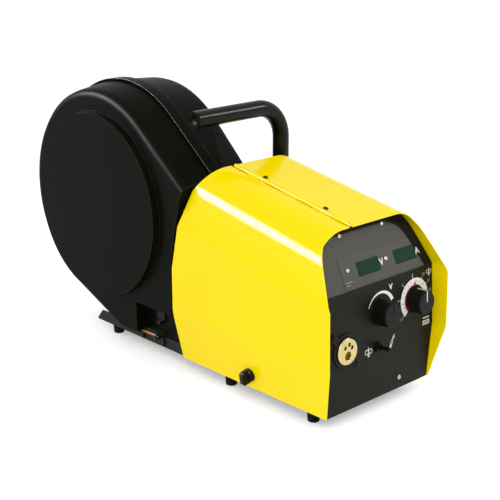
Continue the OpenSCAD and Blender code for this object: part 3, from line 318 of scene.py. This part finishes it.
# Which finish each CAD piece has, and the radius of its broken edges in millimetres (0 keeps the CAD mesh)
dress = {
    "base_tray": ("blackPowderCoat", 0.5), "rubber_feet": ("footRubber", 0),
    "foot_screws": ("zincPlatedSteel", 0), "front_panel": ("blackPowderCoat", 0),
    "rear_panel": ("blackPowderCoat", 0), "centre_wall": ("galvanisedSheet", 0),
    "right_cover": ("yellowPowderCoat", 0.35), "side_door": ("yellowPowderCoat", 0.35),
    "hinge_fixed_leaf": ("yellowPowderCoat", 0.3), "hinge_door_leaf": ("yellowPowderCoat", 0.3),
    "hinge_pin": ("zincPlatedSteel", 0), "black_screws": ("blackOxideSteel", 0),
    "door_latch_knob": ("blackAbs", 0.8), "control_overlay": ("overlayFilm", 0.1),
    "display_plate": ("displayFilm", 0.15), "voltage_window": ("greenLens", 0.2),
    "current_window": ("greenLens", 0.2), "display_board": ("solderedBoard", 0),
    "panel_screws": ("zincPlatedSteel", 0.2), "voltage_knob": ("blackAbs", 0.3),
    "wire_speed_knob": ("blackAbs", 0.3), "potentiometers": ("blackAbs", 0),
    "toggle_switch": ("blackAbs", 0.3), "toggle_lever": ("blackAbs", 0), "euro_flange": ("blackAbs", 0.5),
    "euro_body": ("turnedBrass", 0.25), "drive_plate": ("castAluminium", 0.5),
    "drive_pillars": ("turnedBrass", 0), "gearbox": ("castAluminium", 1.0),
    "drive_motor": ("motorEnamel", 1.0), "drive_pinion": ("turnedSteel", 0),
    "lower_roll_front": ("turnedSteel", 0), "lower_roll_rear": ("turnedSteel", 0),
    "upper_roll_front": ("turnedSteel", 0), "upper_roll_rear": ("turnedSteel", 0),
    "pressure_arm": ("redNylon", 0.8), "pressure_knob": ("redNylon", 0.4),
    "arm_pivot_pin": ("turnedSteel", 0), "wire_guides": ("turnedBrass", 0),
    "spool_post": ("blackPowderCoat", 0.5), "hub_axle": ("turnedSteel", 0), "spool_hub": ("blackAbs", 0.6),
    "hub_latch": ("redNylon", 0.8), "pot_right_half": ("mouldedPolyethylene", 0.8),
    "pot_band": ("mouldedPolyethylene", 0.5), "pot_left_half": ("mouldedPolyethylene", 1.0),
    "pot_hinge_rod": ("passivatedRod", 0), "pot_hinge_brackets": ("blackPowderCoat", 0.4),
    "pot_latch": ("blackAbs", 0.4), "handle_tube": ("tubePaint", 0.4),
    "handle_plugs": ("mouldedPolyethylene", 0.3), "handle_saddles": ("blackPowderCoat", 0.5),
    "handle_bolts": ("zincPlatedSteel", 0), "control_board": ("solderedBoard", 0),
    "current_socket": ("blackAbs", 0.6), "control_socket": ("zincPlatedSteel", 0.4),
    "gas_inlet": ("turnedBrass", 0.2), "gas_valve": ("castAluminium", 0.6),
    "current_bar": ("copperBarStock", 0.5), "gas_hose": ("footRubber", 0),
}

for node, (finish, edge) in dress.items():
    slots = nodes[node].data.materials
    slots.clear()
    slots.append(finishes[finish])

# How a CAD piece is cleaned and its edges are broken, with lengths in mm and angles in degrees
edgeWork = {
    "weld": 0.002, "flatAngle": 0.4, "sharpAngle": 38, "bevelSteps": 2, "smoothAngle": 36,
    "paintedHighlightPieces": ("pot_left_half", "pot_right_half", "pot_band"),    # pieces whose bevelled edges get the paler finish, a painted highlight
    "foldRadius": {"right_cover": 5.0, "side_door": 5.0, "control_overlay": 3.0},
    "foldAngles": (8, 30), "foldLength": 60, "foldSteps": 5,      # the creases that are bent to that radius
}


def softenFolds(piece, radius):
    # Selects the long shallow creases of a bent sheet and bevels them to a radius
    mesh = piece.data
    shallowest, steepest = edgeWork["foldAngles"]
    sides = {}
    for face in mesh.polygons:
        for key in face.edge_keys:
            sides.setdefault(key, []).append(face.normal)
    chosen = set()
    for key, normals in sides.items():
        if len(normals) != 2:
            continue
        turn = math.degrees(normals[0].angle(normals[1], 0.0))
        length = (mesh.vertices[key[0]].co - mesh.vertices[key[1]].co).length
        if shallowest < turn < steepest and length > edgeWork["foldLength"] * mm:
            chosen.add(key)
    for edge in mesh.edges:
        edge.select = edge.key in chosen
    if chosen:
        bpy.ops.object.mode_set(mode="EDIT")
        bpy.ops.mesh.select_mode(type="EDGE")
        bpy.ops.mesh.bevel(offset=radius * mm, segments=edgeWork["foldSteps"], affect="EDGES")
        bpy.ops.object.mode_set(mode="OBJECT")
    return len(chosen)


def roundedCopy(node, edge):
    # The CAD piece's shape as a clean mesh of its own, with every sharp edge broken
    piece = nodes[node].copy()
    piece.data = nodes[node].data.copy()
    piece.name = node + "_finished"
    for mark in list(piece.keys()):
        del piece[mark]
    piece.parent = None
    bpy.context.scene.collection.objects.link(piece)
    makeActive(piece)
    bpy.ops.mesh.customdata_custom_splitnormals_clear()
    bpy.ops.object.mode_set(mode="EDIT")
    bpy.ops.mesh.select_all(action="SELECT")
    bpy.ops.mesh.remove_doubles(threshold=edgeWork["weld"] * mm)
    bpy.ops.mesh.dissolve_limited(angle_limit=math.radians(edgeWork["flatAngle"]))
    bpy.ops.mesh.select_all(action="DESELECT")
    bpy.ops.object.mode_set(mode="OBJECT")
    if node in edgeWork["foldRadius"]:
        print("folds on", node, softenFolds(piece, edgeWork["foldRadius"][node]))
    bevel = piece.modifiers.new("brokenEdges", "BEVEL")
    bevel.width = edge * mm
    bevel.segments = edgeWork["bevelSteps"]
    bevel.limit_method = "ANGLE"
    bevel.angle_limit = math.radians(edgeWork["sharpAngle"])
    # The pot's bevelled edges take a paler finish, a painted highlight along each step
    if node in edgeWork["paintedHighlightPieces"]:
        piece.data.materials.append(finishes["paintedHighlightPolyethylene"])
        bevel.material = 1        # the second of the piece's finishes
    bpy.ops.object.modifier_apply(modifier=bevel.name)
    bpy.ops.object.shade_smooth_by_angle(angle=math.radians(edgeWork["smoothAngle"]))
    weights = piece.modifiers.new("evenShading", "WEIGHTED_NORMAL")
    weights.keep_sharp = True
    bpy.ops.object.modifier_apply(modifier=weights.name)
    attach(piece, bodyOf[node])
    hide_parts(node)


roundedNodes = [node for node, (finish, edge) in dress.items() if edge > 0]
for node in roundedNodes:
    roundedCopy(node, dress[node][1])
print("rounded pieces:", len(roundedNodes))

# The control panel: the knobs' places on its lower flat and that flat's length in mm, and the fold in degrees
panel = {"voltageKnobAt": (8.0, 128.0), "speedKnobAt": (85.0, 128.0), "lowerLength": 175.67, "foldTurn": 21.8}


def panelFrame():
    # Frame of the lower flat, from the voltage knob's joint: X runs across, Y up the panel and Z out of it
    normal = Vector(joints["voltage_turn"]["axis"]).normalized()
    across = Vector((1.0, 0.0, 0.0))
    up = normal.cross(across)
    turn = Matrix((across, up, normal)).transposed().to_4x4()
    knobAt = Vector((*panel["voltageKnobAt"], 0.0)) * mm
    origin = Vector(joints["voltage_turn"]["pos_m"]) - turn.to_3x3() @ knobAt
    return Matrix.Translation(origin) @ turn


lowerPanel = panelFrame()
upperPanel = (lowerPanel @ Matrix.Translation((0, panel["lowerLength"] * mm, 0))
              @ Matrix.Rotation(math.radians(-panel["foldTurn"]), 4, "X"))

# How ink is drawn, in mm and degrees; the shares are of a stroke's width and of a letter's size
ink = {"thick": 0.12, "arcStep": 5, "fewestSteps": 8, "weld": 0.001, "endShare": 0.45, "endSteps": 3,
       "capitalShare": 0.69, "letterSteps": 4, "smoothAngle": 30}


def polar(centre, radius, angle):
    turn = math.radians(angle)
    return (centre[0] + radius * math.cos(turn), centre[1] + radius * math.sin(turn))


def inkBand(inner, outer, start, sweep, centre):
    # A printed ring or part of one: a plane on edge, spun about the panel's normal.
    # The inner and the outer radius are each given as at the start and at the end of the sweep.
    deselectAll()
    bpy.ops.mesh.primitive_plane_add(size=1)
    piece = bpy.context.object
    corners = ((inner[0], 0), (outer[0], 0), (inner[0], ink["thick"]), (outer[0], ink["thick"]))
    for vertex, (radius, height) in zip(piece.data.vertices, corners):
        vertex.co = (radius, 0.0, height)
    whole = sweep >= 360
    bpy.ops.object.mode_set(mode="EDIT")
    bpy.ops.mesh.select_all(action="SELECT")
    if whole:
        bpy.ops.mesh.delete(type="ONLY_FACE")
        bpy.ops.mesh.select_all(action="SELECT")
    steps = max(ink["fewestSteps"], int(sweep / ink["arcStep"]))
    bpy.ops.mesh.spin(steps=steps, angle=math.radians(sweep), center=(0, 0, 0), axis=(0, 0, 1))
    bpy.ops.mesh.select_all(action="SELECT")
    bpy.ops.mesh.remove_doubles(threshold=ink["weld"])
    bpy.ops.object.mode_set(mode="OBJECT")
    turns = [math.degrees(math.atan2(vertex.co.y, vertex.co.x)) % 360 for vertex in piece.data.vertices]
    beyond = sweep + 1        # only rounding or a clockwise spin puts a point past this
    clockwise = not whole and sum(turn > beyond for turn in turns) > len(turns) / 2
    for vertex, turn in zip(piece.data.vertices, turns):
        x, y, z = vertex.co
        turn = (360 - turn) % 360 if clockwise else turn
        if not whole and turn > beyond:
            turn = 0.0        # a start point that rounding put just under a full turn
        nearer = abs(math.hypot(x, y) - inner[0]) < abs(math.hypot(x, y) - outer[0])
        first, last = inner if nearer else outer
        radius = first + (last - first) * (0.0 if whole else turn / sweep)
        vertex.co = (*polar(centre, radius, start + turn), z)
    bpy.ops.object.mode_set(mode="EDIT")
    bpy.ops.mesh.select_all(action="SELECT")
    bpy.ops.mesh.normals_make_consistent(inside=False)
    bpy.ops.object.mode_set(mode="OBJECT")
    return piece


def inkBar(fromPoint, toPoint, width, thick=ink["thick"]):
    # A printed stroke with rounded ends
    deselectAll()
    start, end = Vector(fromPoint), Vector(toPoint)
    run = end - start
    bpy.ops.mesh.primitive_cube_add(size=1)
    piece = bpy.context.object
    piece.data.transform(Matrix.Diagonal((run.length + width, width, thick, 1)))
    bpy.ops.object.mode_set(mode="EDIT")
    bpy.ops.mesh.select_all(action="DESELECT")
    bpy.ops.object.mode_set(mode="OBJECT")
    for edge in piece.data.edges:
        low, high = (piece.data.vertices[i].co for i in edge.vertices)
        edge.select = abs(low.z - high.z) > thick / 2
    bpy.ops.object.mode_set(mode="EDIT")
    bpy.ops.mesh.select_mode(type="EDGE")
    bpy.ops.mesh.bevel(offset=width * ink["endShare"], segments=ink["endSteps"], affect="EDGES")
    bpy.ops.object.mode_set(mode="OBJECT")
    middle = (start + end) / 2
    turn = Matrix.Rotation(math.atan2(run.y, run.x), 4, "Z")
    piece.data.transform(Matrix.Translation((middle.x, middle.y, thick / 2)) @ turn)
    return piece


def inkStroke(at, start, end, width):
    # A printed stroke whose ends are given from the middle of its mark
    return inkBar((at[0] + start[0], at[1] + start[1]), (at[0] + end[0], at[1] + end[1]), width)


def inkOutline(at, corners, width):
    # Printed strokes round a closed outline, drawn about the middle of its mark
    return [inkStroke(at, a, b, width) for a, b in zip(corners, corners[1:] + corners[:1])]


def inkRay(centre, inner, outer, angle, width):
    # A printed stroke that points away from the middle of a dial
    return inkBar(polar(centre, inner, angle), polar(centre, outer, angle), width)


def inkWords(words, height, at, bold=0.0):
    # Printed numbers and unit letters; height is that of a capital, bold is how far the outline is let out
    deselectAll()
    bpy.ops.object.text_add()
    lettering = bpy.context.object
    lettering.data.body = words
    lettering.data.size = height / ink["capitalShare"]
    lettering.data.align_x = "CENTER"
    lettering.data.align_y = "CENTER"
    lettering.data.extrude = ink["thick"] / 2
    lettering.data.resolution_u = ink["letterSteps"]
    lettering.data.offset = bold
    makeActive(lettering)
    bpy.ops.object.convert(target="MESH")
    piece = bpy.context.object
    piece.data.transform(Matrix.Translation((at[0], at[1], ink["thick"] / 2)))
    return piece


def settle(name, parts, placing, finish, body, lift=0.0):
    # Joins drawn parts, puts them on their surface in metres, and hands the piece to the frame
    deselectAll()
    for part in parts:
        part.select_set(True)
    bpy.context.view_layer.objects.active = parts[0]
    if len(parts) > 1:
        bpy.ops.object.join()
    piece = bpy.context.object
    piece.name = name
    piece.data.transform(placing @ Matrix.Translation((0, 0, lift * mm)) @ Matrix.Scale(mm, 4))
    piece.data.materials.clear()
    piece.data.materials.append(finishes[finish])
    makeActive(piece)
    bpy.ops.object.shade_smooth_by_angle(angle=math.radians(ink["smoothAngle"]))
    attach(piece, body)


# Wire speed dial: a white band with ticks and numbers, and a red one that widens and peaks near its start
speedScale = {
    "centre": (84.5, 130.0), "bandInner": 21.6, "bandOuter": 31.6, "start": 14.0, "sweep": 212.0,
    "numbers": {"1.5": (53.7, 104.7), "4": (47.1, 134.8), "6": (58.0, 156.9), "8": (80.5, 166.5),
                "10": (105.5, 162.9), "12": (117.6, 150.6), "15": (121.6, 135.6)},
    "numberHeight": 4.6, "tickInner": 31.2, "tickOuter": 34.4, "tickWidth": 0.9,
    "redInner": 20.4, "redOuter": (21.4, 23.4), "redStart": 84.0, "redSweep": 140.0,
    "peakAngle": 87.0, "peakHalfAngle": 5.5, "peakFoot": 22.0, "peakTip": 26.2, "peakWidth": 1.2,
    "coreFoot": 21.5, "coreTip": 24.8, "coreWidth": 2.6,
    "fineAngles": (214, 201, 186, 163, 149, 122, 107, 80, 66, 44),
    "fineInner": 25.4, "fineOuter": 28.2, "fineWidth": 0.8,
}


def drawSpeedScale():
    dial, centre, peak = speedScale, speedScale["centre"], speedScale["peakAngle"]
    band = inkBand((dial["bandInner"],) * 2, (dial["bandOuter"],) * 2, dial["start"], dial["sweep"], centre)
    ticks = []
    for at in dial["numbers"].values():
        angle = math.degrees(math.atan2(at[1] - centre[1], at[0] - centre[0]))
        ticks.append(inkRay(centre, dial["tickInner"], dial["tickOuter"], angle, dial["tickWidth"]))
    settle("speedScaleBand", [band] + ticks, lowerPanel, "whitePrint", "housing")
    numbers = [inkWords(number, dial["numberHeight"], at) for number, at in dial["numbers"].items()]
    settle("speedScaleNumbers", numbers, lowerPanel, "silverPrint", "housing")
    red = [inkBand((dial["redInner"],) * 2, dial["redOuter"], dial["redStart"], dial["redSweep"], centre)]
    for side in (-1, 1):
        foot = polar(centre, dial["peakFoot"], peak + side * dial["peakHalfAngle"])
        red.append(inkBar(foot, polar(centre, dial["peakTip"], peak), dial["peakWidth"]))
    red.append(inkRay(centre, dial["coreFoot"], dial["coreTip"], peak, dial["coreWidth"]))
    settle("speedScaleRed", red, lowerPanel, "redPrint", "housing", lift=ink["thick"])
    fine = [inkRay(centre, dial["fineInner"], dial["fineOuter"], angle, dial["fineWidth"])
            for angle in dial["fineAngles"]]
    settle("speedScaleFine", fine, lowerPanel, "greyPrint", "housing", lift=ink["thick"])


# Voltage dial: a crescent that is thick at its start and thin at its end, and a unit letter
voltageScale = {"centre": (8.1, 130.2), "radius": 28.0, "thin": 0.7, "thick": 6.2, "start": 24.0,
                "sweep": 136.0, "unitAt": (30.7, 161.0), "unitHeight": 7.8, "unitBold": 0.4}


def drawVoltageScale():
    dial = voltageScale
    radius, thin, thick = dial["radius"], dial["thin"], dial["thick"]
    crescent = inkBand((radius - thick / 2, radius - thin / 2), (radius + thick / 2, radius + thin / 2),
                       dial["start"], dial["sweep"], dial["centre"])
    unit = inkWords("V", dial["unitHeight"], dial["unitAt"], dial["unitBold"])
    settle("voltageScale", [crescent, unit], lowerPanel, "whitePrint", "housing")


# Wire feed mark: two rolls side by side, and the wire between them with an arrowhead at its foot
wireMark = {"rollInner": 2.9, "rollOuter": 3.9, "rollsApart": 3.9, "wireUp": 6.5, "wireDown": 7.5,
            "width": 0.9, "headOut": 1.9, "headUp": -5.2, "headTip": -8.2}

# Torch mark: a hand torch that leans to the right, as an outlined grip, its shaded foot, a neck and a trigger
torchMark = {"grip": ((-4.4, -8.4), (-1.0, -9.0), (3.4, 1.2), (1.0, 2.6)), "gripWidth": 1.0,
             "foot": ((-3.0, -7.2), (-1.6, -4.2)), "footWidth": 2.6,
             "neck": (((2.4, 2.4), (3.6, 6.4)), ((3.6, 6.4), (7.2, 9.6)), ((4.8, 4.0), (7.4, 6.4))),
             "neckWidth": 1.1}

# Where the marks stand on the lower flat, with the wire feed marks' sizes against the one above
panelSymbols = {"wireMarks": (((-20.6, 75.5), 1.0), ((119.0, 164.6), 0.82)), "torchAt": (30.3, 77.1)}


def drawWireMark(at, size):
    mark = {key: value * size for key, value in wireMark.items()}
    strokes = [inkBand((mark["rollInner"],) * 2, (mark["rollOuter"],) * 2, 0, 360,
                       (at[0] + side * mark["rollsApart"], at[1])) for side in (-1, 1)]
    strokes.append(inkStroke(at, (0, -mark["wireDown"]), (0, mark["wireUp"]), mark["width"]))
    strokes += [inkStroke(at, (side * mark["headOut"], mark["headUp"]), (0, mark["headTip"]), mark["width"])
                for side in (-1, 1)]
    return strokes


def drawTorchMark(at):
    strokes = inkOutline(at, torchMark["grip"], torchMark["gripWidth"])
    strokes.append(inkStroke(at, *torchMark["foot"], torchMark["footWidth"]))
    return strokes + [inkStroke(at, a, b, torchMark["neckWidth"]) for a, b in torchMark["neck"]]


# Small data label on the lower flat, its wording left as plain dashes
dataLabel = {"at": (111.6, 86.2), "top": ((-6.8, 7.6), (6.8, 7.6)), "topWidth": 1.8, "width": 1.5,
             "frame": ((-7.4, -2.8), (7.2, -2.8), (7.2, 2.8), (-7.4, 2.8)),
             "dashes": 4, "dashStart": -5.0, "dashLength": 1.6, "dashPitch": 3.4}

# Print on the display plate: a letter beside each window, and two thin bars at its left end
displayPrint = {"units": (("V", 9.6, (20.4, 25.2)), ("A", 9.4, (101.0, 24.8))), "bold": 0.25, "lift": 1.4,
                "bars": (((-61.5, 11.8), (-48.5, 11.8)), ((-60.5, 7.6), (-54.5, 7.6))), "barWidth": 0.8}


def drawPanelMarks():
    symbols = [stroke for at, size in panelSymbols["wireMarks"] for stroke in drawWireMark(at, size)]
    symbols += drawTorchMark(panelSymbols["torchAt"])
    settle("panelSymbols", symbols, lowerPanel, "whitePrint", "housing")
    at, width = dataLabel["at"], dataLabel["width"]
    label = [inkStroke(at, *dataLabel["top"], dataLabel["topWidth"])]
    label += inkOutline(at, dataLabel["frame"], width)
    for place in range(dataLabel["dashes"]):
        x = dataLabel["dashStart"] + dataLabel["dashPitch"] * place
        label.append(inkStroke(at, (x, 0), (x + dataLabel["dashLength"], 0), width))
    settle("panelDataLabel", label, lowerPanel, "whitePrint", "housing")
    lift = displayPrint["lift"]
    units = [inkWords(*unit, displayPrint["bold"]) for unit in displayPrint["units"]]
    settle("displayUnits", units, upperPanel, "whitePrint", "housing", lift)
    bars = [inkBar(*bar, displayPrint["barWidth"]) for bar in displayPrint["bars"]]
    settle("displayFineBars", bars, upperPanel, "silverPrint", "housing", lift)


# Display windows on the upper flat, by their left edges, and the three digits behind each
display = {"windows": (-32.0, 49.0), "width": 47.2, "height": 20.6, "up": 15.0, "face": 1.8,
           "digitHeight": 12.6, "digitWidth": 7.4, "pitch": 13.4, "stroke": 1.7, "thick": 0.05,
           "cornerShare": 0.75, "pointStart": 1.9, "pointEnd": 2.0}


def drawUnlitDigits():
    # Three seven-segment digits in each window, switched off and just visible behind the lens
    half, tall = display["digitWidth"] / 2, display["digitHeight"] / 2
    stroke, thick = display["stroke"], display["thick"]
    gap = stroke * display["cornerShare"]
    for name, left in zip(("voltageDigits", "currentDigits"), display["windows"]):
        middle, y = left + display["width"] / 2, display["up"] + display["height"] / 2
        segments = []
        for place in (-1, 0, 1):
            x = middle + place * display["pitch"]
            for level in (-tall, 0, tall):
                segments.append(((x - half + gap, y + level), (x + half - gap, y + level)))
            for side in (-half, half):
                segments.append(((x + side, y - tall + gap), (x + side, y - gap)))
                segments.append(((x + side, y + gap), (x + side, y + tall - gap)))
            segments.append(((x + half + display["pointStart"], y - tall),
                             (x + half + display["pointEnd"], y - tall)))
        strokes = [inkBar(start, end, stroke, thick) for start, end in segments]
        settle(name, strokes, upperPanel, "unlitSegments", "housing", lift=display["face"])


# White line on the speed knob: across its cap, and down the flute at its top
pointer = {"capHeight": 24.0, "inner": 1.5, "rim": 17.6, "width": 1.5, "thick": 0.7, "sunk": 0.6,
           "gripRadius": 18.75, "sideFoot": 6.4, "sideLength": 16.0, "sideWidth": 1.0, "sideThick": 0.8,
           "sideSunk": 0.4}


def drawSpeedPointer():
    cap = inkBar((0, pointer["inner"]), (0, pointer["rim"]), pointer["width"], pointer["thick"])
    cap.data.transform(Matrix.Translation((0, 0, pointer["capHeight"] - pointer["sunk"])))
    side = inkBar((0, 0), (pointer["sideLength"], 0), pointer["sideWidth"], pointer["sideThick"])
    onFlute = Matrix.Translation((0, pointer["gripRadius"] - pointer["sideSunk"], pointer["sideFoot"]))
    quarter = math.radians(-90)
    side.data.transform(onFlute @ Matrix.Rotation(quarter, 4, "Y") @ Matrix.Rotation(quarter, 4, "X"))
    across, up = panel["speedKnobAt"]
    knobFrame = lowerPanel @ Matrix.Translation((across * mm, up * mm, 0))
    settle("speedKnobPointer", [cap, side], knobFrame, "whitePrint", "speed_knob")


drawSpeedScale()
drawVoltageScale()
drawPanelMarks()
drawUnlitDigits()
drawSpeedPointer()
print("marks and digits drawn")

# The white studio, in metres, degrees and watts
studio = {
    "floorSize": 30.0, "floorColour": "#F4F4F2", "floorRough": 0.9, "floorLift": 0.36, "worldLight": 0.7,
    "lampAim": (0.0, 0.0, 0.2),        # the middle of the machine
    "keyFrom": (-2.2, -1.9, 2.6), "keySize": (1.8, 1.8), "keyPower": 52,
    "fillFrom": (2.6, -2.3, 2.1), "fillSize": (0.7, 0.7), "fillPower": 34,
    "cardFrom": (-1.55, 0.95, 1.22), "cardSize": (2.6, 0.58), "cardPower": 330,
    "cardAim": (-0.09, -0.1, 0.29),
    "cameraAt": (-1.1939, -1.3154, 0.7436), "cameraTurn": (72.227, 0.0, -43.446), "lens": 82.44,
    "viewDepth": 60,
}


def buildFloor():
    # A pale floor that the camera and shiny faces see as nearly white, and that keeps the shadow
    bpy.ops.mesh.primitive_plane_add(size=studio["floorSize"], location=(0, 0, 0))
    floor = bpy.context.object
    floor.name = "studioFloor"
    material = bpy.data.materials.new("studioFloorPaint")
    material.use_nodes = True
    tree = material.node_tree
    shader = tree.nodes["Principled BSDF"]
    shader.inputs["Base Color"].default_value = linearColour(studio["floorColour"])
    shader.inputs["Roughness"].default_value = studio["floorRough"]
    rays = addNode(tree, "ShaderNodeLightPath")
    seen = addNode(tree, "ShaderNodeMath", {"operation": "ADD", "use_clamp": True},
                   {0: rays.outputs["Is Camera Ray"], 1: rays.outputs["Is Glossy Ray"]})
    lift = addNode(tree, "ShaderNodeMath", {"operation": "MULTIPLY", 1: studio["floorLift"]},
                   {0: seen.outputs["Value"]})
    glow = addNode(tree, "ShaderNodeEmission", None, {"Strength": lift.outputs["Value"]})
    both = addNode(tree, "ShaderNodeAddShader", None,
                   {0: shader.outputs["BSDF"], 1: glow.outputs["Emission"]})
    tree.links.new(both.outputs["Shader"], tree.nodes["Material Output"].inputs["Surface"])
    floor.data.materials.append(material)


def lightWorld():
    # White where it is looked at, straight or in a shiny or clear face, and dimmer as a light
    world = bpy.data.worlds.new("studioWorld")
    bpy.context.scene.world = world
    world.use_nodes = True
    tree = world.node_tree
    tree.nodes.clear()
    rays = addNode(tree, "ShaderNodeLightPath")
    looked = addNode(tree, "ShaderNodeMath", {"operation": "ADD"},
                     {0: rays.outputs["Is Camera Ray"], 1: rays.outputs["Is Transmission Ray"]})
    seen = addNode(tree, "ShaderNodeMath", {"operation": "ADD", "use_clamp": True},
                   {0: looked.outputs["Value"], 1: rays.outputs["Is Glossy Ray"]})
    strength = addNode(tree, "ShaderNodeMapRange", {"To Min": studio["worldLight"], "To Max": 1.0},
                       {"Value": seen.outputs["Value"]})
    sky = addNode(tree, "ShaderNodeBackground", {"Color": (1.0, 1.0, 1.0, 1.0)},
                  {"Strength": strength.outputs["Result"]})
    out = addNode(tree, "ShaderNodeOutputWorld")
    tree.links.new(sky.outputs["Background"], out.inputs["Surface"])


def softLamp(name, fromPoint, size, power, aim=studio["lampAim"]):
    lamp = bpy.data.lights.new(name, "AREA")
    lamp.energy = power
    lamp.shape = "RECTANGLE"
    lamp.size, lamp.size_y = size
    holder = bpy.data.objects.new(name, lamp)
    bpy.context.scene.collection.objects.link(holder)
    holder.location = fromPoint
    holder.rotation_euler = (Vector(aim) - Vector(fromPoint)).to_track_quat("-Z", "Y").to_euler()
    return holder


def placeCamera():
    camera = bpy.data.objects.new("camera", bpy.data.cameras.new("camera"))
    bpy.context.scene.collection.objects.link(camera)
    camera.location = studio["cameraAt"]
    camera.rotation_euler = [math.radians(a) for a in studio["cameraTurn"]]
    camera.data.lens = studio["lens"]
    camera.data.clip_end = studio["viewDepth"]
    bpy.context.scene.camera = camera


buildFloor()
lightWorld()
softLamp("keyLight", studio["keyFrom"], studio["keySize"], studio["keyPower"])
softLamp("fillLight", studio["fillFrom"], studio["fillSize"], studio["fillPower"])
card = softLamp("glossCard", studio["cardFrom"], studio["cardSize"], studio["cardPower"], studio["cardAim"])
card.visible_diffuse = False        # it only draws the long highlight on the cover's rolled edge
placeCamera()
bpy.context.scene.view_settings.view_transform = "Standard"
print("studio ready")

deselectAll()
